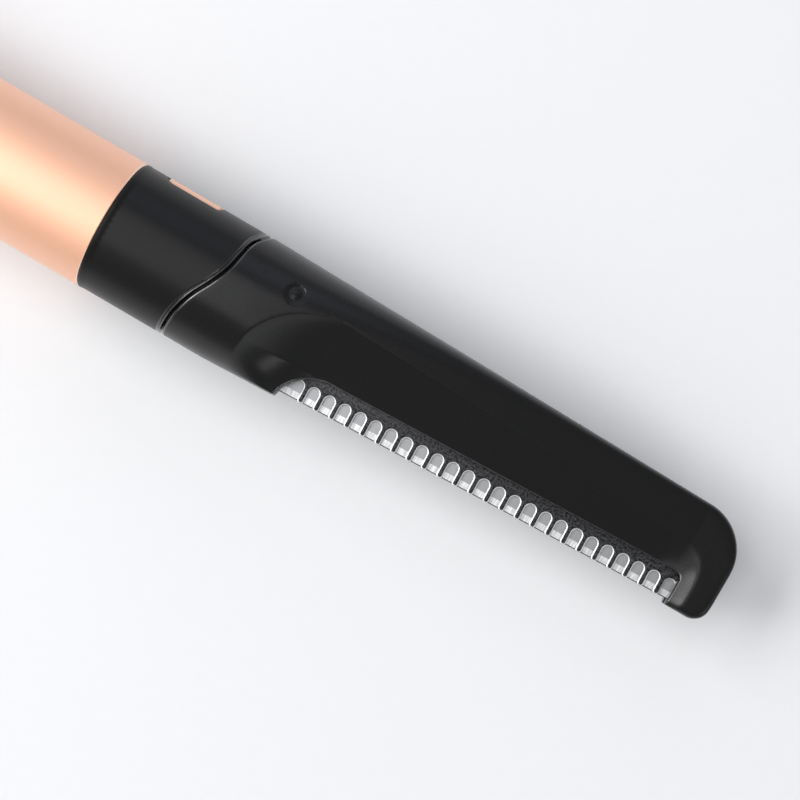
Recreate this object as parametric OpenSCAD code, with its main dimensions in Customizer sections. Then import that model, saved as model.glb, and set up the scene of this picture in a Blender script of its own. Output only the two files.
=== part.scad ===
// Battery eyebrow razor: a barrel with a round cell, a collar with a push button and a vibrating
// motor, and a blade head that pulls off. It lies on its side: +X runs to the tip, +Y to the spine
// and the button, +Z away from the surface. Inside the modules x = 0 is the barrel's front end.

/* [Barrel and cell] */
// Outer diameter of the barrel tube
barrel_d = 14; // [13.8:0.1:15]
// Length of the barrel tube
barrel_len = 62; // [58:0.5:64]
// Wall of the barrel tube
barrel_wall = 0.8; // [0.6:0.05:0.85]
// Bevel round the barrel's front end
barrel_bevel = 0.2; // [0.1:0.05:0.4]
// Diameter of the round cell
cell_d = 10.5; // [10:0.1:10.6]
// Length of the cell's can without its nub
cell_len = 43.5; // [42:0.5:45]
// Diameter of the cell's nub
nub_d = 3.8; // [3:0.1:5]
// Length of the cell's nub
nub_len = 1; // [0.8:0.1:1.3]
// Distance from the collar to the positive contact
bay_len = 22.1; // [21:0.1:23]

/* [Tail cap] */
// Thickness of the cap's closed end
cap_end_t = 1.5; // [1:0.1:2.5]
// Length of the cap's plug inside the barrel
plug_len = 4.5; // [3.5:0.1:6]
// Radius that rounds the cap's end
cap_round_r = 2.2; // [1:0.1:3]
// How much smaller than the barrel the cap is, in diameter
cap_step = 0.2; // [0:0.02:0.3]
// Height of the pressed cell spring
spring_len = 3.2; // [2.8:0.1:4]
// Wire diameter of the cell spring
spring_wire_d = 0.6; // [0.4:0.05:0.7]
// Diameter of the spring's wide end, to the wire's middle
spring_base_d = 8.4; // [7:0.1:9]
// Diameter of the spring's narrow end, to the wire's middle
spring_tip_d = 4.4; // [3.5:0.1:5.5]

/* [Contacts] */
// Thickness of the contact plates
plate_t = 0.4; // [0.3:0.05:0.5]
// Diameter of the positive contact
plate_d = 7.2; // [6:0.1:9]
// Thickness of the earth strip
strip_t = 0.25; // [0.2:0.05:0.3]
// Width of the earth strip
strip_w = 2; // [1.6:0.1:2.4]
// Width of the solder tab
tab_w = 2; // [1.4:0.1:2.6]

/* [Collar] */
// Outer diameter of the collar
collar_d = 13.9; // [13.7:0.05:14]
// Width of the proud rim at the collar's rear
rim_w = 0.45; // [0.3:0.05:0.8]
// How far the rim stays inside the barrel's surface, which the razor rests on
rim_step = 0.02; // [0.01:0.01:0.1]
// Length of the collar's spigot inside the barrel
spigot_len = 4; // [3:0.1:5]
// Bore through the collar
collar_bore_d = 10.6; // [10.5:0.05:10.8]
// Diameter of the neck that carries the head
neck_d = 12.2; // [12:0.05:12.3]
// Distance from the barrel to the neck's front end
neck_x = 18; // [17:0.1:18.5]
// Thickness of the neck's closed end
neck_end_t = 1; // [0.8:0.1:1.4]
// Chamfer that leads the head onto the neck, and keeps the head's bore under the scoop
neck_lead = 0.6; // [0.5:0.05:0.8]
// Distance from the barrel to the wave's rear end, on the blade side
wave_rear_x = 9.5; // [9.4:0.1:10]
// Distance from the barrel to the wave's front end, on the spine side
wave_front_x = 14.2; // [13.5:0.1:14.4]
// Gap between collar and head along the wave
wave_gap = 0.2; // [0.1:0.05:0.3]

/* [Button] */
// Distance from the barrel to the button's middle
button_x = 5.65; // [5.4:0.05:5.7]
// Length of the button
button_len = 5.9; // [5.2:0.1:6]
// Width of the button
button_w = 4.9; // [4.5:0.1:5.1]
// Radius of the button's corners
button_corner_r = 1.2; // [0.8:0.1:1.8]
// Gap round the button
button_gap = 0.15; // [0.1:0.01:0.2]
// Travel of the button
button_travel = 0.5; // [0.3:0.05:0.5]
// Lip that keeps the button in its hole
button_lip = 0.5; // [0.3:0.05:0.6]
// Thickness of the button's skin
button_skin = 1.05; // [0.95:0.05:1.1]

/* [Board and switch] */
// Height of the board's underside over the axis
board_y = 3; // [2.8:0.05:3.1]
// Thickness of the board
board_t = 0.8; // [0.6:0.05:0.85]
// Width of the board
board_w = 7.2; // [6.8:0.1:7.3]
// Distance from the barrel to the board's rear end, backwards
board_rear = 18; // [16:0.1:18.5]
// Distance from the barrel to the board's front end
board_front_x = 9.2; // [8.2:0.1:9.3]
// Width and length of the switch's body
switch_w = 4; // [3.2:0.1:4.1]
// Height of the switch's body
switch_h = 1.2; // [1:0.05:1.25]
// Diameter of the switch's stem
stem_d = 1.8; // [1.4:0.1:2]
// Height of the stem over the switch's body at rest
stem_out = 0.5; // [0.5:0.05:0.6]

/* [Motor] */
// Diameter of the motor
motor_d = 6; // [5.5:0.1:6.2]
// Length of the motor's can
motor_len = 14; // [12:0.1:14.5]
// Distance from the barrel to the can's front end
motor_x = 9; // [8.6:0.1:9.4]
// Distance from the axis down to the motor's axis
motor_drop = 0.6; // [0.5:0.05:0.8]
// Wall of the motor's can
can_wall = 0.35; // [0.3:0.05:0.45]
// Length of the motor's plastic end
motor_end_len = 1.5; // [1:0.1:2]
// Diameter of the motor's shaft
shaft_d = 0.8; // [0.7:0.05:0.9]
// Running clearance of the shaft
shaft_gap = 0.02; // [0.02:0.01:0.05]
// Outer diameter of the magnet
magnet_d = 3.2; // [3:0.1:3.4]
// Wall of the bell coil
coil_wall = 0.5; // [0.4:0.05:0.6]
// Clearance round the bell coil
coil_gap = 0.25; // [0.2:0.05:0.3]
// Outer diameter of the front bush
bush_d = 2; // [1.8:0.1:2.4]
// How far the bush stands out of the can
bush_out = 0.6; // [0.4:0.1:0.8]
// Diameter of the eccentric weight
weight_d = 5.6; // [5:0.1:6]
// Length of the eccentric weight
weight_len = 4; // [3:0.1:5]
// Diameter of a motor lead
lead_d = 0.7; // [0.5:0.05:0.8]
// Distance between the two leads
lead_gap = 3; // [2.4:0.1:3.6]
// Bend radius of a lead, to its middle
lead_bend_r = 1; // [0.8:0.1:1.3]

/* [Seals and screws] */
// Wire diameter of the rubber rings
seal_d = 0.45; // [0.35:0.05:0.5]
// How far a rubber ring stands out of its groove
seal_out = 0.03; // [0.01:0.01:0.04]
// Diameter of a board screw's head
screw_head_d = 1.4; // [1.2:0.1:1.5]
// Height of a board screw's head
screw_head_h = 0.35; // [0.25:0.05:0.4]
// Diameter of a board screw's shank
screw_d = 0.8; // [0.6:0.05:0.9]
// Distance between the two screws
screw_gap = 5; // [4.8:0.1:5]

/* [Head] */
// Distance from the barrel to the tip
tip_x = 70.5; // [66:0.5:76]
// Distance from the barrel to where the head starts to flatten
taper_x = 14.2; // [14:0.1:15]
// Length over which the flattening sets in
taper_ease = 12; // [8:0.5:14]
// Spine's height over the axis at the tip
spine_y = 6.06; // [5.6:0.02:6.4]
// Hook's depth under the axis
hook_y = 4.92; // [4.7:0.02:5.4]
// Thickness of the head at the tip
tip_t = 5; // [4.4:0.1:5.6]
// Radius of the tip's upper corner
tip_corner_r = 5.1; // [4.5:0.1:5.6]
// Radius of the hook's outer corner
hook_corner_r = 1.7; // [1:0.1:2.2]
// Width of the hook at its foot
hook_w = 3.9; // [3.4:0.1:4.4]
// Clearance of the head on the neck
neck_gap = 0.05; // [0.03:0.01:0.08]
// Wall left round the hollow of the head
shell_wall = 1.3; // [1:0.1:1.6]

/* [Scooped face] */
// Length of the scoop's rear end, as it rises to the surface
scoop_rear_len = 9; // [7:0.1:9.4]
// Distance from the barrel to where the rear end starts to rise
scoop_rear_x = 26; // [25.5:0.1:28]
// Crease's height over the axis at the rear
crease_rear_y = 3.06; // [2.6:0.02:3.4]
// Depth of the rear end's middle under the axis
scoop_rear_drop = 5; // [4:0.1:5.4]
// Length of the scoop's tip end
scoop_tip_len = 5.5; // [4.5:0.1:6]
// Distance from the tip to where the tip end starts to rise
scoop_tip_back = 7.7; // [7.3:0.1:8.4]
// Crease's height over the axis at the tip end
crease_tip_y = 1.9; // [1.6:0.05:2.3]
// Depth of the tip end's middle under the axis
scoop_tip_drop = 2.6; // [2.2:0.1:3]
// Thickness of the head at the scoop's lower edge, at the rear
lower_rear_t = 3.8; // [3:0.1:4.4]
// Thickness of the head at the scoop's lower edge, at the tip
lower_tip_t = 2.2; // [1.9:0.1:2.6]
// Diameter of the mould mark
mark_d = 1.9; // [1.5:0.1:2.4]
// Diameter of the nub in the mould mark
mark_nub_d = 1; // [0.6:0.1:1.2]
// Depth of the mould mark
mark_depth = 0.15; // [0.1:0.01:0.25]
// Distance from the barrel to the mould mark
mark_x = 19.2; // [18.5:0.1:21]
// Height of the mould mark over the axis
mark_y = 3.15; // [2.8:0.05:3.6]

/* [Blade and guard] */
// Distance from the barrel to the blade opening
opening_x = 22.3; // [21.5:0.1:23]
// Radius of the opening's rear end
opening_rear_r = 4.65; // [3.6:0.05:4.8]
// Radius of the opening's corner at the hook
opening_tip_r = 0.8; // [0.5:0.05:1.2]
// Depth of the blade's edge under the axis at the opening
edge_rear_y = 5.95; // [5.7:0.05:6.1]
// Depth of the blade's edge under the axis at the hook
edge_tip_y = 4.35; // [4.2:0.05:4.5]
// How far blade and guard stand out of the head
exposure = 2.95; // [2.7:0.05:3.1]
// Width of the blade
blade_w = 6; // [5.8:0.1:6.4]
// Thickness of the blade
blade_t = 0.2; // [0.1:0.01:0.24]
// Height of the blade's ground bevel
bevel_h = 0.73; // [0.5:0.01:1]
// Thickness of the blade's edge
edge_t = 0.02; // [0.01:0.01:0.04]
// How far blade and guard run into the head at either end
blade_tuck = 0.8; // [0.5:0.1:1]
// Thickness of the guard over both its sides
guard_t = 0.9; // [0.7:0.05:1]
// How far the guard runs up into the head
guard_tuck = 1.2; // [0.8:0.1:1.3]
// How far the guard's ribs stand over the edge
guard_lip = 0.12; // [0.08:0.01:0.2]
// Distance from one guard window to the next
window_pitch = 1.75; // [1.6:0.05:2.1]
// Width of a guard window
window_w = 1.33; // [1.1:0.01:1.4]
// Height of a guard window over the edge
window_h = 2.05; // [1.8:0.01:2.3]
// Distance from the opening to the first window's middle
window_first = 1.75; // [1.5:0.05:2.4]
// Play of blade and guard in the head
fit_gap = 0.02; // [0.01:0.005:0.04]
// Diameter of the blade pins
pin_d = 1.2; // [0.9:0.1:1.4]
// Length of the blade pins
pin_len = 2.8; // [2.2:0.1:3]
// Distance from a pin's hole to the blade's back
pin_margin = 0.325; // [0.25:0.025:0.4]

/* [Hidden] */

// Overrun of every cut
cut = 0.5;
// Play of a part that is pushed into another
slip = 0.05;

barrel_r = barrel_d / 2;
barrel_bore_r = barrel_r - barrel_wall;
tray_r = barrel_bore_r - 2 * slip;
cell_r = cell_d / 2;
tray_bore_r = cell_r + 2 * slip;
nub_x = -bay_len - plate_t;
can_x = nub_x - nub_len;
cell_rear_x = can_x - cell_len;
disc_t = strip_t + slip;
floor_x = cell_rear_x - spring_len - disc_t;
// The cap reaches past both the spring and the barrel's rear end
tail_x = min(floor_x - cap_end_t, -barrel_len - cap_round_r - slip);
cap_r = barrel_r - cap_step / 2;
plug_x = max(floor_x, -barrel_len) + plug_len;
seal_x = plug_x - plug_len / 2;
tray_rear_x = plug_x + 6 * slip;
// The tail contact's arm passes between the cell and the seal
arm_y = cell_r + 1.5 * slip;
arm_top_y = arm_y + strip_t;
tray_front_x = -spigot_len - 4 * slip;
middle_x = (tip_x + tail_x) / 2;

collar_r = collar_d / 2;
rim_r = barrel_r - rim_step;
bore_r = collar_bore_d / 2;
neck_r = neck_d / 2;
head_bore_r = neck_r + neck_gap;

// The button's pocket in the collar, a little longer and wider than the button's lip
pocket_len = button_len + 2 * button_lip + 8 * slip;
pocket_w = button_w + 2 * button_lip + 8 * slip;
lip_r = neck_r - slip;
skin_r = collar_r - button_skin;
board_top_y = board_y + board_t;
switch_top_y = board_top_y + switch_h;
stem_top_y = switch_top_y + stem_out;

motor_r = motor_d / 2;
motor_rear_x = motor_x - motor_len;
motor_end_x = motor_rear_x - motor_end_len;
cradle_rear_x = motor_rear_x + slip;
cradle_front_x = motor_x + bush_out;
magnet_r = magnet_d / 2;
coil_in_r = magnet_r + coil_gap;
coil_r = coil_in_r + coil_wall;
coil_end_t = 2 * coil_gap;
weight_x = motor_x + bush_out + coil_gap;
shaft_front_x = weight_x + weight_len + coil_gap;
screw_x = motor_rear_x + screw_head_d + 2 * screw_d;
lead_y = -motor_drop;
strip_y = barrel_bore_r - 3 * slip - strip_t;
strip_front_x = -board_rear + strip_w / 2;

// Wave between collar and head: heights and places as shares, a smooth curve runs through them
wave_y_shares = [-1, -0.62, -0.3, 0, 0.3, 0.55, 0.8, 1];
wave_x_shares = [0, 0.11, 0.28, 0.51, 0.68, 0.745, 0.81, 1];
wave_steps = 4;

// Head
tip_half = tip_t / 2;
corner_x = tip_x - tip_corner_r;
hook_corner_x = tip_x - hook_corner_r;
hook_x = tip_x - hook_w;
scoop_tip_x = tip_x - scoop_tip_back;
// Shape of the head's cross-section: 2 is an ellipse, more is squarer
rear_power_share = 2;
tip_power_share = 6.5;
// Share of the tip's thickness that is left at its very end
rim_share = 0.3;
// Where the scoop's ends start to rise, and how steeply they end
ramp_start_share = 0.15;
ramp_power_share = 2.2;
// Steps of the head's skin
arc_steps = 10;
rear_rings = 9;
middle_rings = 8;
tip_rings = 6;
corner_rings = 6;

// Blade frame: its origin is the rear end of the edge, its x runs along the edge
blade_x = opening_x + fit_gap;
edge_dx = hook_x - blade_x;
edge_len = sqrt(edge_dx * edge_dx + pow(edge_rear_y - edge_tip_y, 2));
blade_tilt = atan((edge_rear_y - edge_tip_y) / edge_dx);
window_count = floor((edge_len - window_first) / window_pitch) + 1;
guard_top = exposure + guard_tuck;
pin_y = blade_w - pin_margin - pin_d / 2;
pin_share = 0.16;
round_fn = 96;

function mix(a, b, t) = a + (b - a) * t;
function unit(t) = min(1, max(0, t));
function eased(t) = unit(t) * unit(t) * (3 - 2 * unit(t));

// Slope of the wave at one of its points, in shares
function wave_slope(i) = let(a = max(0, i - 1), b = min(len(wave_y_shares) - 1, i + 1))
    (wave_x_shares[b] - wave_x_shares[a]) / (wave_y_shares[b] - wave_y_shares[a]);
// Share of the wave at t of the way from point i to the next
function wave_share(i, t) = let(step = wave_y_shares[i + 1] - wave_y_shares[i])
    (2 * t * t * t - 3 * t * t + 1) * wave_x_shares[i]
    + (t * t * t - 2 * t * t + t) * step * wave_slope(i)
    + (3 * t * t - 2 * t * t * t) * wave_x_shares[i + 1]
    + (t * t * t - t * t) * step * wave_slope(i + 1);
function wave_point(i, t, shift) = [
    shift + mix(wave_rear_x, wave_front_x, wave_share(i, t)),
    collar_r * mix(wave_y_shares[i], wave_y_shares[i + 1], t)];
function wave_points(shift) = concat(
    [[wave_rear_x + shift, -collar_r - cut]],
    [for (i = [0 : len(wave_y_shares) - 2]) for (k = [0 : wave_steps - 1])
        wave_point(i, k / wave_steps, shift)],
    [[wave_front_x + shift, collar_r], [wave_front_x + shift, collar_r + cut]]);

// Outline of the head seen from the front
function top_y(x) = x > corner_x
    ? spine_y - tip_corner_r + sqrt(max(0, pow(tip_corner_r, 2) - pow(x - corner_x, 2)))
    : mix(collar_r, spine_y, unit((x - taper_x) / (corner_x - taper_x)));
function bottom_y(x) = x > hook_corner_x
    ? hook_corner_r - hook_y - sqrt(max(0, pow(hook_corner_r, 2) - pow(x - hook_corner_x, 2)))
    : -mix(collar_r, hook_y, unit((x - taper_x) / (hook_x - taper_x)));
// Half the head's thickness along its middle
function half_z(x) = let(
        run = x - taper_x,
        slope = (collar_r - tip_half) / (corner_x - taper_x - taper_ease / 2),
        drop = run < 0 ? 0 : run < taper_ease ? slope * run * run / (2 * taper_ease)
            : slope * (run - taper_ease / 2))
    max(tip_half, collar_r - drop);
function power(x) = mix(rear_power_share, tip_power_share,
    eased((x - taper_x) / (scoop_tip_x - taper_x)));
function squared(v, p) = pow(max(0, 1 - pow(min(1, abs(v)), p)), 1 / p);
// Rounds the skin off at the tip
function end_share(x) = mix(rim_share, 1,
    squared((x - hook_corner_x) / hook_corner_r * (x > hook_corner_x ? 1 : 0), tip_power_share));
// Skin without the scoop
function round_z(x, y) = let(mid = (top_y(x) + bottom_y(x)) / 2, half = (top_y(x) - bottom_y(x)) / 2)
    half_z(x) * end_share(x) * squared((y - mid) / half, power(x));

// Crease along the scoop's upper edge, and the head's lower edge under it
function crease_y(x) = mix(crease_rear_y, crease_tip_y, (x - scoop_rear_x) / (scoop_tip_x - scoop_rear_x));
function face_y(x) = exposure - mix(edge_rear_y, edge_tip_y, (x - blade_x) / edge_dx);
function lower_z(x) = mix(lower_rear_t, lower_tip_t, unit((x - opening_x) / (hook_x - opening_x))) / 2;
// Flat floor of the scoop, from the crease down to the lower edge
function floor_z(x, y) = let(c = crease_y(x), f = face_y(x))
    mix(lower_z(x), round_z(x, c), max(0, (y - f) / (c - f)));
// Share of the scoop's end length that is left at this share of the way across its rounded end
function end_bulge(across) = max(rim_share / 100, sqrt(1 - pow(unit(across), 2)));
// Share of the way from the scoop's floor to its end, seen from the front
function ramp(x, y) = x < scoop_rear_x
    ? (scoop_rear_x - x) / scoop_rear_len
        / end_bulge((y + scoop_rear_drop) / (crease_rear_y + scoop_rear_drop))
    : x > scoop_tip_x
        ? (x - scoop_tip_x) / scoop_tip_len
            / end_bulge(abs(y + scoop_tip_drop) / (crease_tip_y + scoop_tip_drop))
        : 0;
function rise(t) = pow(unit((t - ramp_start_share) / (1 - ramp_start_share)), ramp_power_share);
function skin_z(x, y) = let(e = round_z(x, y), f = floor_z(x, y), t = ramp(x, y))
    t >= 1 ? e : min(e, f + (e - f) * rise(t));

// Upper edge of the scoop at x, so that a row of the skin's points follows it
function scoop_y(x) = x < scoop_rear_x
    ? mix(-scoop_rear_drop, crease_rear_y,
        sqrt(1 - pow(unit((scoop_rear_x - x) / scoop_rear_len), 2)))
    : x > scoop_tip_x
        ? mix(-scoop_tip_drop, crease_tip_y,
            sqrt(1 - pow(unit((x - scoop_tip_x) / scoop_tip_len), 2)))
        : crease_y(x);
function ring_y(x, i) = let(
        mid = (top_y(x) + bottom_y(x)) / 2,
        half = (top_y(x) - bottom_y(x)) / 2,
        turn = acos(min(1, max(-1, (scoop_y(x) - mid) / half))),
        angle = i <= arc_steps ? turn * i / arc_steps
            : mix(turn, 180, (i - arc_steps) / arc_steps))
    mid + half * cos(angle);
function ring(x) = concat(
    [for (i = [0 : 2 * arc_steps]) [x, ring_y(x, i), skin_z(x, ring_y(x, i))]],
    [for (i = [2 * arc_steps - 1 : -1 : 1]) [x, ring_y(x, i), -skin_z(x, ring_y(x, i))]]);
// Rings of the skin: close together where the scoop's ends and the tip's corner turn
scoop_end_x = scoop_tip_x + scoop_tip_len;
corner_turn = asin((scoop_end_x - corner_x) / tip_corner_r);
ring_places = concat(
    [wave_rear_x - 2 * cut, taper_x, (taper_x + scoop_rear_x - scoop_rear_len) / 2],
    [for (i = [0 : rear_rings]) scoop_rear_x - scoop_rear_len * cos(90 * i / rear_rings)],
    [for (i = [1 : middle_rings]) mix(scoop_rear_x, scoop_tip_x, i / middle_rings)],
    [for (i = [1 : tip_rings]) scoop_tip_x + scoop_tip_len * sin(90 * i / tip_rings)],
    [for (i = [1 : corner_rings])
        corner_x + tip_corner_r * sin(mix(corner_turn, 90, i / corner_rings))]);

module place() {
    translate([-middle_x, 0, barrel_r])
        children();
}

// Round bar along x
module rod(r, x0, x1) {
    translate([x0, 0, 0])
        rotate([0, 90, 0])
            cylinder(r = r, h = x1 - x0, $fn = round_fn);
}

module tube(r, bore, x0, x1) {
    difference() {
        rod(r, x0, x1);
        rod(bore, x0 - cut, x1 + cut);
    }
}

// Box given by its two corners
module block(low, high) {
    translate(low)
        cube(high - low);
}

// Round bar along y
module post(r, x, z, y0, y1) {
    translate([x, y0, z])
        rotate([-90, 0, 0])
            cylinder(r = r, h = y1 - y0, $fn = round_fn / 2);
}

// Rubber ring round the x axis, whose outside stands seal_out over the groove's edge
module seal(edge_r, x) {
    translate([x, 0, 0])
        rotate([0, 90, 0])
            rotate_extrude($fn = round_fn)
                translate([edge_r + seal_out - seal_d / 2, 0])
                    circle(d = seal_d, $fn = round_fn / 3);
}

module seal_groove(edge_r, x) {
    depth_r = edge_r + seal_out - seal_d - slip / 2;
    tube(edge_r + cut, depth_r, x - seal_d / 2 - slip, x + seal_d / 2 + slip);
}

module barrel() {
    color("#e3ac90")
        translate([-barrel_len, 0, 0])
            rotate([0, 90, 0])
                rotate_extrude($fn = round_fn)
                    polygon([[barrel_bore_r, 0], [barrel_r, 0],
                        [barrel_r, barrel_len - barrel_bevel],
                        [barrel_r - barrel_bevel, barrel_len], [barrel_bore_r, barrel_len]]);
}

// Everything in front of the wave, moved by shift
module ahead_of_wave(shift) {
    linear_extrude(height = 2 * (barrel_r + cut), center = true)
        polygon(concat(wave_points(shift),
            [[tip_x + cut, collar_r + cut], [tip_x + cut, -collar_r - cut]]));
}

// Prism of the button's outline, larger all round by grow, pushed through the spine side
module button_prism(grow) {
    r = button_corner_r + grow;
    side_x = button_len / 2 - button_corner_r;
    side_z = button_w / 2 - button_corner_r;
    block([button_x - side_x, board_top_y, -side_z - r], [button_x + side_x, barrel_r + cut, side_z + r]);
    block([button_x - side_x - r, board_top_y, -side_z], [button_x + side_x + r, barrel_r + cut, side_z]);
    for (dir_x = [-1, 1], dir_z = [-1, 1])
        post(r, button_x + dir_x * side_x, dir_z * side_z, board_top_y, barrel_r + cut);
}

// The neck, or its bore in the head, with a lead-in chamfer at the front
module neck_rod(r, x1) {
    rod(r, 0, x1 - neck_lead);
    translate([x1 - neck_lead, 0, 0])
        rotate([0, 90, 0])
            cylinder(r1 = r, r2 = r - neck_lead, h = neck_lead, $fn = round_fn);
}

module collar() {
    color("#17171a")
        difference() {
            union() {
                difference() {
                    rod(collar_r, 0, wave_front_x + cut);
                    ahead_of_wave(-wave_gap / 2);
                }
                rod(rim_r, 0, rim_w);
                neck_rod(neck_r, neck_x);
                rod(barrel_bore_r - slip, -spigot_len, rim_w);
            }
            rod(bore_r, -spigot_len - cut, neck_x - neck_end_t);
            intersection() {
                rod(neck_r, 0, neck_x);
                block([button_x - pocket_len / 2, board_y, -pocket_w / 2],
                    [button_x + pocket_len / 2, barrel_r, pocket_w / 2]);
            }
            button_prism(button_gap);
            seal_groove(neck_r, neck_x - 2 * neck_end_t);
            board_guides();
        }
}

// Grooves that a board wider than the bore slides in
module board_guides() {
    play = slip / 2;
    block([-board_rear - play, board_y - play, -board_w / 2 - play],
        [board_front_x + play, board_top_y + play, board_w / 2 + play]);
}

module neck_seal() {
    color("#101010")
        seal(neck_r, neck_x - 2 * neck_end_t);
}

module power_button() {
    under_y = stem_top_y + slip;
    color("#e3ac90") {
        difference() {
            union() {
                intersection() {
                    button_prism(0);
                    tube(collar_r, skin_r, 0, neck_x);
                }
                intersection() {
                    button_prism(button_lip);
                    tube(lip_r, lip_r - button_lip, 0, neck_x);
                }
            }
            block([0, 0, -switch_w / 2 - 4 * slip], [neck_x, under_y, switch_w / 2 + 4 * slip]);
        }
        post(stem_d / 2 - 2 * slip, button_x, 0, stem_top_y, skin_r + button_skin / 2);
    }
}

module tact_switch() {
    color("#3a3a3e")
        difference() {
            block([button_x - switch_w / 2, board_top_y, -switch_w / 2],
                [button_x + switch_w / 2, switch_top_y, switch_w / 2]);
            post(stem_d / 2 + 2 * slip, button_x, 0, board_top_y + slip, switch_top_y + cut);
        }
}

module switch_plunger() {
    color("#e8e4da")
        post(stem_d / 2, button_x, 0, board_top_y + button_travel + 2 * slip, stem_top_y);
}

module circuit_board() {
    color("#1d5a3a")
        difference() {
            block([-board_rear, board_y, -board_w / 2], [board_front_x, board_top_y, board_w / 2]);
            for (dir = [-1, 1])
                post(screw_d / 2 + slip / 2, screw_x, dir * screw_gap / 2, board_y - cut, board_top_y + cut);
        }
}

// Small parts on the board: place along it, length, width and height as shares of its width
part_shares = [[0.25, 0.42, 0.36, 0.1], [0.36, 0.17, 0.28, 0.08], [0.44, 0.17, 0.28, 0.08]];
module board_parts() {
    color("#26262a")
        for (p = part_shares)
            block([mix(-board_rear, board_front_x, p[0]) - board_w * p[1] / 2, board_top_y,
                    -board_w * p[2] / 2],
                [mix(-board_rear, board_front_x, p[0]) + board_w * p[1] / 2,
                    board_top_y + board_w * p[3], board_w * p[2] / 2]);
}

module board_screws() {
    color("#b9bcc0")
        for (dir = [-1, 1]) {
            post(screw_head_d / 2, screw_x, dir * screw_gap / 2, board_top_y,
                board_top_y + screw_head_h);
            post(screw_d / 2, screw_x, dir * screw_gap / 2, screw_end_y(), board_top_y);
        }
}
function screw_end_y() = board_y - 1.4 * screw_d;

// Moves a piece from the razor's axis to the motor's axis
module on_motor_axis() {
    translate([0, -motor_drop, 0])
        children();
}

module motor_cradle() {
    color("#d8d6cf")
        difference() {
            intersection() {
                rod(bore_r - slip, cradle_rear_x, cradle_front_x);
                block([cradle_rear_x, -barrel_r, -barrel_r], [cradle_front_x, board_y, barrel_r]);
            }
            on_motor_axis()
                rod(motor_r + slip / 2, cradle_rear_x - cut, motor_x);
            on_motor_axis()
                rod(weight_d / 2, motor_x - cut, cradle_front_x + cut);
            for (dir = [-1, 1])
                post(screw_d / 2, screw_x, dir * screw_gap / 2, screw_end_y(), board_y + cut);
        }
}

module motor_can() {
    color("#c9ccd0")
        on_motor_axis()
            difference() {
                rod(motor_r, motor_rear_x, motor_x);
                rod(motor_r - can_wall, motor_rear_x - cut, motor_x - can_wall);
                rod(bush_d / 2, motor_rear_x, motor_x + cut);
            }
}

module motor_end() {
    color("#eceae2")
        on_motor_axis()
            difference() {
                union() {
                    rod(motor_r, motor_end_x, motor_rear_x);
                    rod(motor_r - can_wall - slip / 2, motor_rear_x, motor_rear_x + motor_end_len);
                }
                rod(shaft_d / 2 + shaft_gap, motor_end_x + motor_end_len / 2,
                    motor_rear_x + motor_end_len + cut);
            }
}

module motor_bush() {
    color("#b98d4f")
        on_motor_axis()
            tube(bush_d / 2, shaft_d / 2 + shaft_gap, motor_x - 3 * can_wall, motor_x + bush_out);
}

magnet_front_x = motor_x - 3 * can_wall;
coil_front_x = magnet_front_x - coil_gap;
coil_rear_x = motor_rear_x + motor_end_len + coil_gap;

module motor_magnet() {
    color("#55565a")
        on_motor_axis()
            tube(magnet_r, shaft_d / 2 + coil_gap, coil_rear_x + coil_end_t + coil_gap, magnet_front_x);
}

module motor_coil() {
    color("#b5652f")
        on_motor_axis()
            difference() {
                rod(coil_r, coil_rear_x, coil_front_x);
                rod(coil_in_r, coil_rear_x + coil_end_t, coil_front_x + cut);
                rod(shaft_d / 2, coil_rear_x - cut, coil_front_x);
            }
}

module motor_shaft() {
    color("#d2d4d8")
        on_motor_axis()
            rod(shaft_d / 2, motor_end_x + motor_end_len / 2 + slip, shaft_front_x);
}

module eccentric_weight() {
    color("#8d8f94")
        on_motor_axis()
            difference() {
                union() {
                    intersection() {
                        rod(weight_d / 2 - 2 * slip, weight_x, weight_x + weight_len);
                        block([weight_x, -weight_d, -weight_d], [weight_x + weight_len, 0, weight_d]);
                    }
                    rod(bush_d / 2, weight_x, weight_x + weight_len);
                }
                rod(shaft_d / 2, weight_x - cut, weight_x + weight_len + cut);
            }
}

module motor_leads() {
    run = lead_bend_r;
    color("#a32b25")
        for (dir = [-1, 1])
            translate([motor_end_x - run, lead_y, dir * lead_gap / 2]) {
                rod(lead_d / 2, 0, run);
                translate([0, lead_bend_r, 0])
                    rotate([0, 0, 180])
                        rotate_extrude(angle = 90, $fn = round_fn)
                            translate([lead_bend_r, 0])
                                circle(d = lead_d, $fn = round_fn / 3);
                post(lead_d / 2, -lead_bend_r, 0, lead_bend_r, board_y - lead_y);
            }
}

module cell_can() {
    color("#c7c9cc")
        rod(cell_r, cell_rear_x, can_x);
}

module cell_nub() {
    color("#dcdee0")
        rod(nub_d / 2, can_x, nub_x);
}

// Room for the earth strip along the spine side of the tray and the cap
module strip_slot(x0, x1, y0, y1) {
    block([x0, y0, -strip_w / 2 - slip], [x1, y1, strip_w / 2 + slip]);
}

module cell_tray() {
    wall_x = nub_x + plate_t;
    color("#e9e6dc")
        difference() {
            tube_with_wall(wall_x);
            strip_slot(tray_rear_x - cut, strip_front_x + slip, strip_y - slip, barrel_r);
            strip_slot(strip_front_x - strip_t - slip, strip_front_x + slip, 0, barrel_r);
            block([wall_x - cut, board_y - plate_t - slip, -tab_w / 2 - slip],
                [wall_x + barrel_wall + cut, board_y + slip, tab_w / 2 + slip]);
            board_guides();
        }
}

module tube_with_wall(wall_x) {
    tube(tray_r, tray_bore_r, tray_rear_x, tray_front_x);
    rod(tray_r, wall_x, wall_x + barrel_wall);
}

module positive_contact() {
    color("#d9c79a") {
        rod(plate_d / 2, nub_x, nub_x + plate_t);
        block([nub_x, board_y - plate_t, -tab_w / 2], [-board_rear + tab_w, board_y, tab_w / 2]);
    }
}

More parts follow.
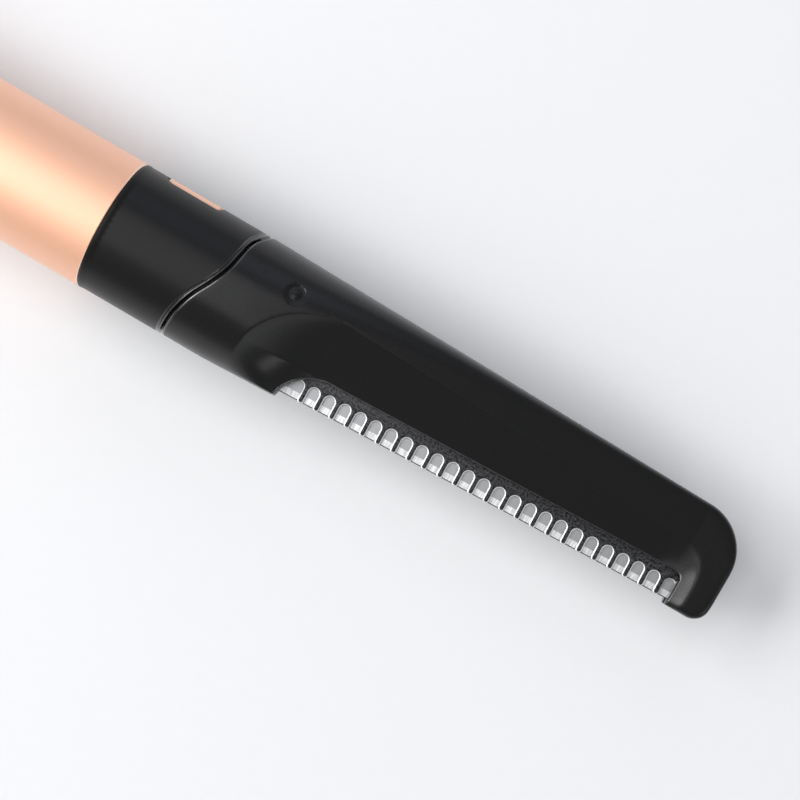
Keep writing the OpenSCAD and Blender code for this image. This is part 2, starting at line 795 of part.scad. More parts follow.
module ground_strip() {
    color("#d9c79a") {
        block([plug_x + slip, strip_y, -strip_w / 2], [strip_front_x, strip_y + strip_t, strip_w / 2]);
        block([strip_front_x - strip_t, board_top_y, -strip_w / 2],
            [strip_front_x, strip_y, strip_w / 2]);
    }
}

module quarter_disc(r) {
    intersection() {
        circle(r = r, $fn = round_fn);
        translate([0, -r])
            square(r);
    }
}

module tail_cap() {
    end_r = cap_r - cap_round_r;
    color("#e3ac90")
        difference() {
            union() {
                rod(tray_r, -barrel_len, plug_x);
                rod(cap_r, tail_x + cap_round_r, -barrel_len);
                rod(end_r, tail_x, tail_x + cap_round_r + slip);
                translate([tail_x + cap_round_r, 0, 0])
                    rotate([0, 90, 0])
                        rotate_extrude($fn = round_fn)
                            translate([end_r, 0])
                                quarter_disc(cap_round_r);
            }
            rod(tray_bore_r, floor_x, plug_x + cut);
            strip_slot(floor_x, plug_x + cut, 0, arm_top_y + 2 * slip);
            strip_slot(plug_x - 2 * strip_t, plug_x + cut, 0, barrel_r);
            seal_groove(tray_r, seal_x);
        }
}

module tail_seal() {
    color("#101010")
        seal(tray_r + slip, seal_x);
}

module tail_contact() {
    color("#d9c79a") {
        rod(tray_bore_r - slip, floor_x, floor_x + disc_t);
        block([floor_x, 0, -strip_w / 2], [floor_x + disc_t, arm_top_y, strip_w / 2]);
        block([floor_x, arm_y, -strip_w / 2], [plug_x, arm_top_y, strip_w / 2]);
        block([plug_x - strip_t, arm_y, -strip_w / 2], [plug_x, strip_y + strip_t, strip_w / 2]);
    }
}

// Conical spring: the middle of its wire at share t of its length
spring_turns = 3.5;
spring_turn_steps = 8;
spring_sides = 6;
spring_steps = floor(spring_turns * spring_turn_steps);
function spring_point(t) = let(
        r = mix(spring_base_d, spring_tip_d, t) / 2,
        a = 360 * spring_turns * t,
        x0 = floor_x + disc_t + spring_wire_d / 2 + slip / 2,
        x1 = cell_rear_x - spring_wire_d / 2 - slip / 2)
    [mix(x0, x1, t), r * cos(a), r * sin(a)];
function spring_ring(k) = let(
        t = k / spring_steps,
        p = spring_point(t),
        a = 360 * spring_turns * t)
    [for (j = [0 : spring_sides - 1]) let(b = 360 * j / spring_sides)
        p + spring_wire_d / 2 * [sin(b), cos(b) * cos(a), cos(b) * sin(a)]];

module tail_spring() {
    points = [for (k = [0 : spring_steps]) each spring_ring(k)];
    sides = [for (k = [0 : spring_steps - 1]) for (j = [0 : spring_sides - 1])
        let(a = k * spring_sides + j, b = k * spring_sides + (j + 1) % spring_sides)
        each [[a, a + spring_sides, b], [b, a + spring_sides, b + spring_sides]]];
    first = [[for (j = [0 : spring_sides - 1]) j]];
    last = [[for (j = [spring_sides - 1 : -1 : 0]) spring_steps * spring_sides + j]];
    color("#c2c5c9")
        polyhedron(points = points, faces = concat(sides, first, last));
}

// The whole head as one closed skin
module head_skin() {
    count = 4 * arc_steps;
    rings = len(ring_places);
    points = [for (x = ring_places) each ring(x)];
    sides = [for (k = [0 : rings - 2]) for (j = [0 : count - 1])
        let(a = k * count + j, b = k * count + (j + 1) % count)
        each [[a, a + count, b], [b, a + count, b + count]]];
    first = [[for (j = [0 : count - 1]) j]];
    last = [[for (j = [count - 1 : -1 : 0]) (rings - 1) * count + j]];
    polyhedron(points = points, faces = concat(sides, first, last));
}

// Opening for the blade, seen from the front
module opening_2d() {
    left = [opening_x + opening_rear_r, face_y(opening_x + opening_rear_r) - opening_rear_r];
    right = [hook_x - opening_tip_r, face_y(hook_x - opening_tip_r) - opening_tip_r];
    polygon(concat(
        [[opening_x, -barrel_r - cut]],
        [for (a = [180 : -10 : 90]) left + opening_rear_r * [cos(a), sin(a)]],
        [for (a = [90 : -15 : 0]) right + opening_tip_r * [cos(a), sin(a)]],
        [[hook_x, -barrel_r - cut]]));
}

// Places a piece in the blade's frame
module in_blade_frame() {
    translate([blade_x, -edge_rear_y, 0])
        rotate([0, 0, blade_tilt])
            children();
}

module blade_slots() {
    in_blade_frame() {
        block([-blade_tuck - fit_gap, -guard_lip - cut, -guard_t / 2 - fit_gap],
            [edge_len + blade_tuck + fit_gap, guard_top + fit_gap, guard_t / 2 + fit_gap]);
        block([-blade_tuck - fit_gap, 0, -blade_t / 2 - fit_gap],
            [edge_len + blade_tuck + fit_gap, blade_w + fit_gap, blade_t / 2 + fit_gap]);
        pin_bars(pin_d / 2 + fit_gap, pin_len + 2 * fit_gap);
    }
}

// Bars at the blade's two pin holes
module pin_bars(r, length) {
    for (t = [pin_share, 1 - pin_share])
        translate([edge_len * t, pin_y, -length / 2])
            cylinder(r = r, h = length, $fn = round_fn / 2);
}

// Hollow between the two shells, over the blade
module head_hollow() {
    x0 = neck_x + 2 * shell_wall;
    x1 = scoop_tip_x;
    low = [for (x = [x0, x1]) blade_w - edge_rear_y + shell_wall + (x - blade_x) * tan(blade_tilt)];
    high = [for (x = [x0, x1]) top_y(x) - shell_wall];
    deep = [for (i = [0, 1]) let(x = [x0, x1][i])
        min(skin_z(x, low[i]), skin_z(x, high[i])) - shell_wall];
    points = [for (i = [0, 1]) each [[[x0, x1][i], low[i], -deep[i]], [[x0, x1][i], high[i], -deep[i]],
        [[x0, x1][i], high[i], deep[i]], [[x0, x1][i], low[i], deep[i]]]];
    polyhedron(points = points, faces = [[0, 1, 2, 3], [7, 6, 5, 4], [0, 4, 5, 1], [1, 5, 6, 2],
        [2, 6, 7, 3], [3, 7, 4, 0]]);
}

// One half of the head: side is 1 for the front and -1 for the back
module head_half(side) {
    difference() {
        intersection() {
            head_skin();
            ahead_of_wave(wave_gap / 2);
            translate([0, -barrel_r, side > 0 ? 0 : -barrel_r])
                cube([tip_x + cut, 2 * barrel_r, barrel_r]);
        }
        neck_rod(head_bore_r, neck_x + 4 * slip);
        linear_extrude(height = 2 * barrel_r, center = true)
            opening_2d();
        blade_slots();
        head_hollow();
    }
}

// Puts a piece on the skin at the mould mark, with its z along the skin's normal
module at_mark() {
    lean = asin(mark_y / collar_r);
    translate([mark_x, mark_y, round_z(mark_x, mark_y)])
        rotate([-lean, 0, 0])
            children();
}

module head_front_shell() {
    color("#141417") {
        difference() {
            head_half(1);
            at_mark()
                translate([0, 0, -mark_depth])
                    cylinder(d = mark_d, h = mark_depth + cut, $fn = round_fn / 2);
        }
        at_mark()
            translate([0, 0, -2 * mark_depth])
                cylinder(d = mark_nub_d, h = 2 * mark_depth, $fn = round_fn / 2);
    }
}

module head_back_shell() {
    color("#141417")
        head_half(-1);
}

module blade() {
    color("#b7babd")
        difference() {
            in_blade_frame()
                translate([-blade_tuck, 0, 0])
                    rotate([90, 0, 90])
                        linear_extrude(height = edge_len + 2 * blade_tuck)
                            polygon([[0, -edge_t / 2], [bevel_h, -blade_t / 2], [blade_w, -blade_t / 2],
                                [blade_w, blade_t / 2], [bevel_h, blade_t / 2], [0, edge_t / 2]]);
            in_blade_frame()
                pin_bars(pin_d / 2, 2 * pin_len);
        }
}

module blade_guard() {
    color("#38383c")
        in_blade_frame()
            difference() {
                linear_extrude(height = guard_t, center = true)
                    difference() {
                        translate([-blade_tuck, -guard_lip])
                            square([edge_len + 2 * blade_tuck, guard_top + guard_lip]);
                        for (k = [0 : window_count - 1])
                            translate([window_first + k * window_pitch, window_h - window_w / 2]) {
                                circle(d = window_w, $fn = round_fn / 4);
                                translate([-window_w / 2, -window_h - cut])
                                    square([window_w, window_h + cut]);
                            }
                        // The first window is open towards the guard's rear end
                        translate([-blade_tuck - cut, -guard_lip - cut])
                            square([blade_tuck + cut + window_first, guard_lip + cut + window_h]);
                    }
                block([-blade_tuck - cut, -fit_gap, -blade_t / 2 - fit_gap / 2],
                    [edge_len + blade_tuck + cut, guard_top + cut, blade_t / 2 + fit_gap / 2]);
                pin_bars(pin_d / 2 + fit_gap, pin_len);
            }
}

module blade_pins() {
    color("#c9cbce")
        in_blade_frame()
            pin_bars(pin_d / 2, pin_len);
}

place() barrel();
place() collar();
place() power_button();
place() head_front_shell();
place() head_back_shell();
place() blade();
place() blade_guard();
place() tail_cap();
place() tail_seal();
place() tail_contact();
place() tail_spring();
place() cell_can();
place() cell_nub();
place() cell_tray();
place() positive_contact();
place() ground_strip();
place() circuit_board();
place() board_parts();
place() board_screws();
place() tact_switch();
place() switch_plunger();
place() motor_cradle();
place() motor_can();
place() motor_end();
place() motor_magnet();
place() motor_coil();
place() motor_bush();
place() motor_shaft();
place() eccentric_weight();
place() motor_leads();
place() neck_seal();
place() blade_pins();
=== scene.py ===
import bpy
import bmesh
from math import asin, atan, atan2, cos, dist, hypot, pi, radians, sin, sqrt
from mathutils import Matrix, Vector
from mathutils.geometry import delaunay_2d_cdt


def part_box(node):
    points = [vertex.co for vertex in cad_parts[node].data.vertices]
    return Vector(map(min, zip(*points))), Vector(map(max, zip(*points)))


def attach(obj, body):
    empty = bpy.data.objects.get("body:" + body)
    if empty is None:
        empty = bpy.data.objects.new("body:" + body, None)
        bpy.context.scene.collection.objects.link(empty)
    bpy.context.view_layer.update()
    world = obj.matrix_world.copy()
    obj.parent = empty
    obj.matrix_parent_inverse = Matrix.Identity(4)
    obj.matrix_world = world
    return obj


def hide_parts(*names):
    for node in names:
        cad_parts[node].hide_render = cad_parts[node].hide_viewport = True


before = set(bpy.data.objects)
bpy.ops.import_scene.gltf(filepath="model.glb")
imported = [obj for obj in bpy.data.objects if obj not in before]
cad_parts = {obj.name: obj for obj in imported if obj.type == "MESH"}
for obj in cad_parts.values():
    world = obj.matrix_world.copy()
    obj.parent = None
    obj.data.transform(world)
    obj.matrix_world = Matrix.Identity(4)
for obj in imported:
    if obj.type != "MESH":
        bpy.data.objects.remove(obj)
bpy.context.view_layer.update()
print("frame loaded")

# Lengths below are in mm, from the barrel's front end and the razor's axis: x to the tip, y to the
# spine, z up. toFrame turns them into the frame's metres.
mm = 0.001
barrelLow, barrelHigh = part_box("barrel")
frontX = barrelHigh.x
axisZ = barrelLow.z + (barrelHigh.y - barrelLow.y) / 2
tiny = 0.01  # less than any distance that counts on the collar's skin
quarter = pi / 2


def toFrame(x, y, z):
    return Vector((frontX + x * mm, y * mm, axisZ + z * mm))


def fromFrame(point):
    return (point.x - frontX) / mm, point.y / mm, (point.z - axisZ) / mm


def mix(a, b, t):
    return a + (b - a) * t


def addObject(name, data):
    added = bpy.data.objects.new(name, data)
    bpy.context.scene.collection.objects.link(added)
    return added


def unit(t):
    return min(1, max(0, t))


def eased(t):
    t = unit(t)
    return t * t * (3 - 2 * t)


# how far a rounded edge of radius r has dropped at a distance gap from the edge
def roundDrop(gap, r):
    return r - sqrt(r * r - (r - gap) ** 2) if 0 <= gap < r else r if gap < 0 else 0


# Camera

view = {
    "middleX": 33.5,  # the photo's middle looks here
    "middleY": -0.63,
    "height": 207,  # of the camera over the razor's axis
    "pixelsPerMm": 10,
    "photoWidth": 800,
    "turn": 30.3,  # degrees that the razor's axis slopes in the photo
    "sensor": 36,
    "nearClip": 0.01,  # metres
}

camera = addObject("camera", bpy.data.cameras.new("camera"))
camera.location = toFrame(view["middleX"], view["middleY"], view["height"])
camera.rotation_euler = (0, 0, radians(view["turn"]))
camera.data.sensor_width = view["sensor"]
camera.data.lens = view["sensor"] * view["height"] * view["pixelsPerMm"] / view["photoWidth"]
camera.data.clip_start = view["nearClip"]
bpy.context.scene.camera = camera


# Materials

# an sRGB hex colour as linear light, with full alpha
def linear(hexColour):
    parts = [int(hexColour[i:i + 2], 16) / 255 for i in (1, 3, 5)]
    return [c / 12.92 if c <= 0.04045 else ((c + 0.055) / 1.055) ** 2.4 for c in parts] + [1]


# adds a node with its settings, and with values or links for its inputs
def addNode(material, kind, inputs=None, **settings):
    node = material.node_tree.nodes.new("ShaderNode" + kind)
    for key, value in settings.items():
        setattr(node, key, value)
    for key, value in (inputs or {}).items():
        if isinstance(value, bpy.types.NodeSocket):
            material.node_tree.links.new(value, node.inputs[key])
        else:
            node.inputs[key].default_value = value
    return node


# a material with its colour and the shader's inputs, whose names have _ for each space
def newMaterial(name, hexColour, **inputs):
    material = bpy.data.materials.new(name)
    material.use_nodes = True
    shader = material.node_tree.nodes["Principled BSDF"]
    shader.inputs["Base Color"].default_value = linear(hexColour)
    for key, value in inputs.items():
        shader.inputs[key.replace("_", " ")].default_value = value
    material.diffuse_color = linear(hexColour)
    return material, shader


# A surface's fine grain: noise whose cells are size mm across, stretched along an axis if asked.
# It moves the roughness by spread, tints the colour and raises the bump by height mm. Its pale and
# dark spots are handed back.
def addGrain(material, shader, size, height, spread=0.0, tint=0.0, stretch=(1, 1, 1), detail=3):
    darkest, palest = 0.35, 0.65  # the noise hardly leaves this range
    place = addNode(material, "TexCoord").outputs["Object"]
    place = addNode(material, "Mapping", {"Vector": place, "Scale": stretch}).outputs[0]
    noise = addNode(material, "TexNoise", {
        "Vector": place, "Scale": 1 / (size * mm), "Detail": detail, "Roughness": 0.6}).outputs[0]
    spots = addNode(material, "MapRange", {
        "Value": noise, "From Min": darkest, "From Max": palest}).outputs[0]
    links = material.node_tree.links
    if height:
        bump = addNode(material, "Bump", {"Height": noise, "Distance": height * mm, "Strength": 1})
        links.new(bump.outputs[0], shader.inputs["Normal"])
    if spread:
        rough = shader.inputs["Roughness"].default_value
        uneven = addNode(material, "MapRange", {
            "Value": spots, "To Min": rough - spread, "To Max": rough + spread})
        links.new(uneven.outputs[0], shader.inputs["Roughness"])
    if tint:
        base = shader.inputs["Base Color"].default_value[:3]
        dark, pale = [[c * (1 + k) for c in base] + [1] for k in (-tint, tint)]
        tinted = addNode(material, "MixRGB", {"Fac": spots, "Color1": dark, "Color2": pale})
        links.new(tinted.outputs[0], shader.inputs["Base Color"])
    return spots


# a material that has a grain and nothing more
def grained(name, hexColour, grain, **inputs):
    material, shader = newMaterial(name, hexColour, **inputs)
    addGrain(material, shader, **grain)
    return material


# Anodised aluminium tube, fine-blasted before the rose gold dye: a wide soft highlight with no
# glitter, paler in its middle where the sealed film shines. The blasted pits are 0.03 mm wide,
# drawn 0.12 mm wide so that they show.
def anodisedAluminium():
    grain = dict(size=0.12, height=0.0015, spread=0.02, tint=0.015)
    return grained("anodised_aluminium_blasted", "#F8C3A2", grain,
                   Metallic=1.0, Roughness=0.6, Coat_Weight=1.0, Coat_Roughness=0.42, Coat_IOR=1.77)


# The same tube where a lathe has faced its front end after dyeing: bright and nearly smooth
def turnedBevel():
    grain = dict(size=0.3, height=0.0005, spread=0.03)
    return grained("anodised_aluminium_turned", "#FBE3D3", grain, Metallic=1.0, Roughness=0.22)


# Moulded ABS in a lightly sparked mould: deep black with a soft satin sheen. The sparked texture
# swallows half of the shine. Its 0.05 mm pits are drawn 0.16 mm wide so that they show.
def mouldedAbs(name, rough, level):
    grain = dict(size=0.16, height=0.0015, spread=0.03, tint=0.06)
    return grained(name, "#060607", grain, Roughness=rough, IOR=1.54, Specular_IOR_Level=level)


# The same ABS on rounded edges, where the mould is polished: bright thin lines along them
def polishedAbs():
    grain = dict(size=0.3, height=0.0004, spread=0.02)
    return grained("abs_black_moulded_polished", "#060607", grain,
                   Roughness=0.17, IOR=1.54, Specular_IOR_Level=0.85)


# Spring steel pins, centreless ground: mid grey with a soft shine
def groundSteel():
    grain = dict(size=0.09, height=0.002, spread=0.08, tint=0.1)
    return grained("spring_steel_ground", "#B9BBBD", grain, Metallic=1.0, Roughness=0.36)


# Spring steel strip for the blade: its flat is rolled, a matt mid grey, and its bevel is ground
# bright across the edge. The grinding lines are 0.03 mm apart, drawn 0.15 mm apart. The bevel is
# found by the distance from the edge, which runs through start at right angles to across.
def bladeSteel(start, across):
    # edge is painted shade: a thin dark band along the blade's very edge that stands in for the shadow where
    # the edge meets the floor
    flat, bevel, edge = "#ABACAD", "#F0F1F2", "#3C3D40"
    darkLine, paleLine, lineShare = "#BFC1C3", "#FFFFFF", 0.8
    flatRough, groundRough = 0.42, 0.5
    material, shader = newMaterial("spring_steel_strip_ground", flat, Metallic=1.0, Roughness=flatRough)
    place = addNode(material, "TexCoord").outputs["Object"]
    place = addNode(material, "VectorMath", {0: place, 1: start}, operation="SUBTRACT").outputs[0]
    gap = addNode(material, "VectorMath", {0: place, 1: across}, operation="DOT_PRODUCT").outputs["Value"]
    onFlat, pastEdgeShade = [
        addNode(material, "MapRange", {"Value": gap, "From Min": a * mm, "From Max": b * mm}).outputs[0]
        for a, b in (guard["grind"], guard["paintedEdgeShade"])]
    lines = addGrain(material, shader, size=0.15, height=0.002, stretch=(1, 0.05, 1))
    lined = addNode(material, "MixRGB", {
        "Fac": lines, "Color1": linear(darkLine), "Color2": linear(paleLine)})
    ground = addNode(material, "MixRGB", {
        "Fac": lineShare, "Color1": linear(bevel), "Color2": lined.outputs[0]})
    # darkens the very edge with that painted shade
    edgeShaded = addNode(material, "MixRGB", {
        "Fac": pastEdgeShade, "Color1": linear(edge), "Color2": ground.outputs[0]})
    whole = addNode(material, "MixRGB", {
        "Fac": onFlat, "Color1": edgeShaded.outputs[0], "Color2": linear(flat)})
    rough = addNode(material, "MapRange", {"Value": onFlat, "To Min": groundRough, "To Max": flatRough})
    material.node_tree.links.new(whole.outputs[0], shader.inputs["Base Color"])
    material.node_tree.links.new(rough.outputs[0], shader.inputs["Roughness"])
    return material


# Stainless strip, etched and blackened: dark grey with pale and black speckles. The etched grain
# is 0.02 mm, drawn 0.24 mm wide so that it shows.
def blackenedSteel():
    grain = dict(size=0.24, height=0.004, spread=0.14, tint=0.8, detail=2)
    return grained("stainless_steel_blackened", "#39393B", grain, Metallic=0.75, Roughness=0.45)


# The same strip where grinding its windows has bared the steel: bright bevels with a soft shine
def bareEdge():
    grain = dict(size=0.1, height=0.002, spread=0.06)
    return grained("stainless_steel_ground_edge", "#DCDDDE", grain, Metallic=1.0, Roughness=0.52)


# Nitrile rubber, moulded: matt and near black
def mouldedRubber():
    grain = dict(size=0.2, height=0.003, spread=0.05)
    return grained("nitrile_rubber_moulded", "#161616", grain, Roughness=0.62, IOR=1.52)


# Stamped, drawn or sintered small parts: a plain metal's shine under a faint, uneven grain
def stampedMetal(name, hexColour, rough):
    grain = dict(size=0.3, height=0.001, spread=0.06, tint=0.05)
    return grained(name, hexColour, grain, Metallic=1.0, Roughness=rough)


# Moulded or extruded small parts: an even colour with the soft shine of their plastic
def mouldedPlastic(name, hexColour, rough):
    grain = dict(size=0.35, height=0.002, spread=0.05, tint=0.03)
    return grained(name, hexColour, grain, Roughness=rough, IOR=1.54)


finishes = {
    "rose_gold_tube": anodisedAluminium(),
    "rose_gold_bevel": turnedBevel(),
    "black_abs": mouldedAbs("abs_black_moulded_collar", 0.36, 0.25),
    "black_abs_head": mouldedAbs("abs_black_moulded_head", 0.3, 0.3),
    "black_abs_edge": polishedAbs(),
    "ground_steel": groundSteel(),
    "guard_dark": blackenedSteel(),
    "guard_bevel": bareEdge(),
    "black_rubber": mouldedRubber(),
    "contact_metal": stampedMetal("phosphor_bronze_nickel_plated", "#D8C8A4", 0.3),
    "spring_steel": stampedMetal("music_wire_drawn", "#C3C6CA", 0.28),
    "cell_sleeve": mouldedPlastic("pvc_film_shrunk", "#8F9398", 0.35),
    "nickel": stampedMetal("nickel_plated_steel", "#D4D2CC", 0.25),
    "white_abs": mouldedPlastic("abs_white_moulded", "#E6E3DA", 0.45),
    "board_green": mouldedPlastic("glass_epoxy_solder_masked", "#1D5A3A", 0.3),
    "part_black": mouldedPlastic("epoxy_moulded", "#242427", 0.5),
    "magnet_grey": stampedMetal("ferrite_sintered", "#55565A", 0.55),
    "coil_copper": stampedMetal("copper_wire_enamelled", "#B5652F", 0.35),
    "bush_brass": stampedMetal("bronze_sintered", "#B98D4F", 0.45),
    "weight_metal": stampedMetal("tungsten_alloy_sintered", "#8D8F94", 0.42),
    "lead_red": mouldedPlastic("pvc_extruded", "#A32B25", 0.4),
}
print("materials made")

# the CAD nodes that keep their shape, by the record's slots
carriedOver = {
    "black_rubber": ("tail_seal", "neck_seal"),
    "contact_metal": ("tail_contact", "positive_contact", "ground_strip"),
    "spring_steel": ("tail_spring", "motor_shaft"),
    "cell_sleeve": ("cell_can",),
    "nickel": ("cell_nub", "board_screws", "motor_can"),
    "white_abs": ("cell_tray", "switch_plunger", "motor_cradle", "motor_end"),
    "board_green": ("circuit_board",),
    "part_black": ("board_parts", "tact_switch"),
    "magnet_grey": ("motor_magnet",),
    "coil_copper": ("motor_coil",),
    "bush_brass": ("motor_bush",),
    "weight_metal": ("eccentric_weight",),
    "lead_red": ("motor_leads",),
    "ground_steel": ("blade_pins",),
}


def coatNode(name, material):
    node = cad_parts[name]
    node.data.materials.clear()
    node.data.materials.append(material)


for slotName, names in carriedOver.items():
    for name in names:
        coatNode(name, finishes[slotName])


# Mesh making

# A mesh piece from points in mm and faces. Edges that bend by more than edgeAngle stay sharp, and a
# piece that only cuts or joins another has no slot.
def makePiece(name, points, faces, slotName, edgeAngle=30):
    mesh = bpy.data.meshes.new(name)
    mesh.from_pydata([toFrame(*p) for p in points], [], faces)
    piece = addObject(name, mesh)
    if slotName:
        mesh.materials.append(finishes[slotName])
    cleanMesh(mesh, edgeAngle)
    return piece


def cleanMesh(mesh, edgeAngle=30):
    tool = bmesh.new()
    tool.from_mesh(mesh)
    bmesh.ops.remove_doubles(tool, verts=tool.verts, dist=1e-7)
    bmesh.ops.dissolve_degenerate(tool, edges=tool.edges, dist=1e-8)
    bmesh.ops.recalc_face_normals(tool, faces=tool.faces)
    tool.to_mesh(mesh)
    tool.free()
    mesh.shade_smooth()
    mesh.set_sharp_from_angle(angle=radians(edgeAngle))


# takes the closed piece cutter out of piece
def cutAway(piece, cutter, edgeAngle=30):
    cut = piece.modifiers.new("cut", "BOOLEAN")
    cut.object = cutter
    cut.operation = "DIFFERENCE"
    cut.solver = "EXACT"
    graph = bpy.context.evaluated_depsgraph_get()
    mesh = bpy.data.meshes.new_from_object(piece.evaluated_get(graph))
    piece.modifiers.remove(cut)
    old = piece.data
    piece.data = mesh
    bpy.data.meshes.remove(old)
    bpy.data.objects.remove(cutter)
    cleanMesh(piece.data, edgeAngle)


# brings the other pieces' meshes into the first one
def joinPieces(piece, *others):
    joined = bmesh.new()
    for part in (piece, *others):
        joined.from_mesh(part.data)
    joined.to_mesh(piece.data)
    joined.free()
    for part in others:
        bpy.data.objects.remove(part)


def finishPiece(piece, body, slotName, *nodes):
    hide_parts(*nodes)
    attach(piece, body)


# gives a second finish to the faces whose middle, in mm, and normal pass the test
def addFinish(piece, name, test):
    piece.data.materials.append(finishes[name])
    for face in piece.data.polygons:
        if test(fromFrame(face.center), face.normal):
            face.material_index = 1


# faces between rings of point numbers, each ring as long as the others
def bridge(rings):
    faces = []
    for a, b in zip(rings, rings[1:]):
        for i in range(len(a)):
            j = (i + 1) % len(a)
            corners = list(dict.fromkeys([a[i], a[j], b[j], b[i]]))
            if len(corners) > 2:
                faces.append(corners)
    return faces


# rings round the x axis from a closed profile of (x, radius) points
def lathe(profile, steps=160):
    points, rings = [], []
    for x, r in profile:
        turns = [2 * pi * i / steps for i in range(steps if r > 0 else 1)]
        rings.append([len(points) + i % len(turns) for i in range(steps)])
        points += [(x, r * cos(t), r * sin(t)) for t in turns]
    return points, bridge(rings + rings[:1])


# part of a profile: a seal's groove
def sealGroove(x, width, wallR, floorR):
    rear, front = x - width / 2, x + width / 2
    return [(rear, wallR), (rear, floorR), (front, floorR), (front, wallR)]


# points of an arc in a flat plane, from one angle to another in degrees
def arc(middleX, middleY, r, start, end, steps):
    turns = [radians(mix(start, end, i / steps)) for i in range(steps + 1)]
    return [(middleX + r * cos(t), middleY + r * sin(t)) for t in turns]


# a block to cut with, between two corners; place can put its points into another frame
def box(low, high, place=None):
    xs, ys, zs = zip(low, high)
    corners = [(x, y, z) for x in xs for y in ys for z in zs]
    faces = [(0, 1, 3, 2), (4, 6, 7, 5), (0, 4, 5, 1), (2, 3, 7, 6), (0, 2, 6, 4), (1, 5, 7, 3)]
    return makePiece("cut", [place(*p) for p in corners] if place else corners, faces, None)


# Triangles that fill an outline in a flat domain. Points come in order of weight, and a later one
# is left out if it lies too close to one that is kept.
class Sheet:
    cellSize = 0.5  # mm, more than the room of any point
    rowStep = 0.86  # the open ground's rows, as a share of the spacing along them
    roomShare = 0.72  # how near its dots may come to other points, as a share too

    def __init__(self):
        self.points, self.edges, self.cells = [], [], {}

    # gives the number of the point, or of a kept one that lies closer than room
    def add(self, p, room):
        i, j = (int(c // self.cellSize) for c in p)
        for cell in [(i + di, j + dj) for di in (-1, 0, 1) for dj in (-1, 0, 1)]:
            for k in self.cells.get(cell, ()):
                if dist(self.points[k], p) < room:
                    return k
        self.points.append(p)
        self.cells.setdefault((i, j), []).append(len(self.points) - 1)
        return len(self.points) - 1

    # a line that stays an edge of the mesh
    def line(self, points, closed=False, room=0.01):
        ids = [self.add(p, room) for p in points]
        self.edges += [(a, b) for a, b in zip(ids, ids[1:] + ids[:1] * closed) if a != b]

    def dots(self, points, room):
        for p in points:
            self.add(p, room)

    # staggered rows of dots, where the test allows them
    def ground(self, lowX, highX, lowY, highY, step, test):
        y, odd = lowY + step / 2, 0
        while y < highY:
            row = [(lowX + step * (i + odd / 2), y) for i in range(int((highX - lowX) / step))]
            self.dots([p for p in row if test(*p)], step * self.roomShare)
            y, odd = y + step * self.rowStep, 1 - odd

    def fill(self):
        result = delaunay_2d_cdt([Vector(p) for p in self.points], self.edges, [], 1, 1e-6)
        return [tuple(v) for v in result[0]], [tuple(f) for f in result[2]]


# the loops of edges that have a face on one side only, as lists of point numbers
def openLoops(faces):
    edges = {edge for face in faces for edge in loopEdges(face)}
    following = {a: b for a, b in edges if (b, a) not in edges}
    loops = []
    while following:
        loop = [next(iter(following))]
        while (step := following.pop(loop[-1])) != loop[0]:
            loop.append(step)
        loops.append(loop)
    return loops


def loopEdges(loop):
    return list(zip(loop, loop[1:] + loop[:1]))


def spaced(a, b, step):
    count = max(1, round(abs(b - a) / step))
    return [mix(a, b, i / count) for i in range(count + 1)]


# where rows of points carry a rounded edge, as shares of its width
lipRows = (0.07, 0.2, 0.4, 0.7, 1.0)


# Wave between collar and head

wave = {
    "rearX": 9.5,
    "frontX": 14.2,
    "end": 15.2,  # nothing of it reaches past here
    "gap": 0.2,
    "slopeStep": 0.05,
    "lip": 0.3,  # radius of the head's rounded edge
    "beadLip": 0.1,  # radius of the collar's
    "grooveGap": 0.31,  # groove that leaves a bead along the collar's edge
    "grooveHalf": 0.17,
    "grooveDepth": 0.13,
    # its course: heights from the blade's side to the spine, as shares of the collar's radius, and
    # places along the razor, as shares of the way from rearX to frontX
    "heightShares": [-1, -0.62, -0.3, 0, 0.3, 0.55, 0.8, 1],
    "placeShares": [0, 0.11, 0.28, 0.51, 0.68, 0.745, 0.81, 1],
}

collar = {
    "r": 6.95,
    "rimR": 6.98,
    "rimW": 0.45,
    "spigotLen": 4,
    "spigotR": 6.15,
    "boreR": 5.3,
    "neckR": 6.1,
    "neckX": 18,
    "endT": 1,
    "leadIn": 0.6,  # chamfer at the neck's front
    "sealX": 16,
    "grooveW": 0.56,
    "grooveR": 5.65,
    "innerR": 6.0,  # how deep the sleeve's skin reaches into the neck
    "coreX": 0.3,  # where the sleeve's plug gives way to its neck
    "plugBevel": 0.2,
    "rimBevel": 0.05,
    "rimStep": 0.06,  # length of the slope at the rim's front
    "holeLip": 0.12,
    "holeOver": 0.2,  # how much wider the core's cut is than the button's lip
    "holeY": (3, 8),
    "steps": 192,  # round the core
    "turnStep": 0.018,  # radians, spacing of the sleeve's mesh along its ends
    "edgeStep": 0.3,
    "grid": 0.4,
    "gridX": (0.6, 15),  # the open ground; it keeps gridGap from the wave and holeRoom from the hole
    "gridGap": 0.65,
    "holeRoom": 0.1,
    "beadRows": (0.02, 0.05, 0.09, 0.14, 0.19, 0.23, 0.27, 0.31, 0.36, 0.41, 0.45, 0.49, 0.53, 0.6),
}


# how steep the wave's course is at its point i, by the points beside it
def waveSlope(i):
    ys, xs = wave["heightShares"], wave["placeShares"]
    a, b = max(0, i - 1), min(len(ys) - 1, i + 1)
    return (xs[b] - xs[a]) / (ys[b] - ys[a])


# where the wave runs at height y, on a smooth curve through its course
def waveX(y):
    ys, xs = wave["heightShares"], wave["placeShares"]
    share = min(1, max(-1, y / collar["r"]))
    i = max(k for k in range(len(ys) - 1) if ys[k] <= share)
    step = ys[i + 1] - ys[i]
    t = (share - ys[i]) / step
    place = ((2 * t**3 - 3 * t**2 + 1) * xs[i] + (t**3 - 2 * t**2 + t) * step * waveSlope(i)
             + (3 * t**2 - 2 * t**3) * xs[i + 1] + (t**3 - t**2) * step * waveSlope(i + 1))
    return mix(wave["rearX"], wave["frontX"], place)


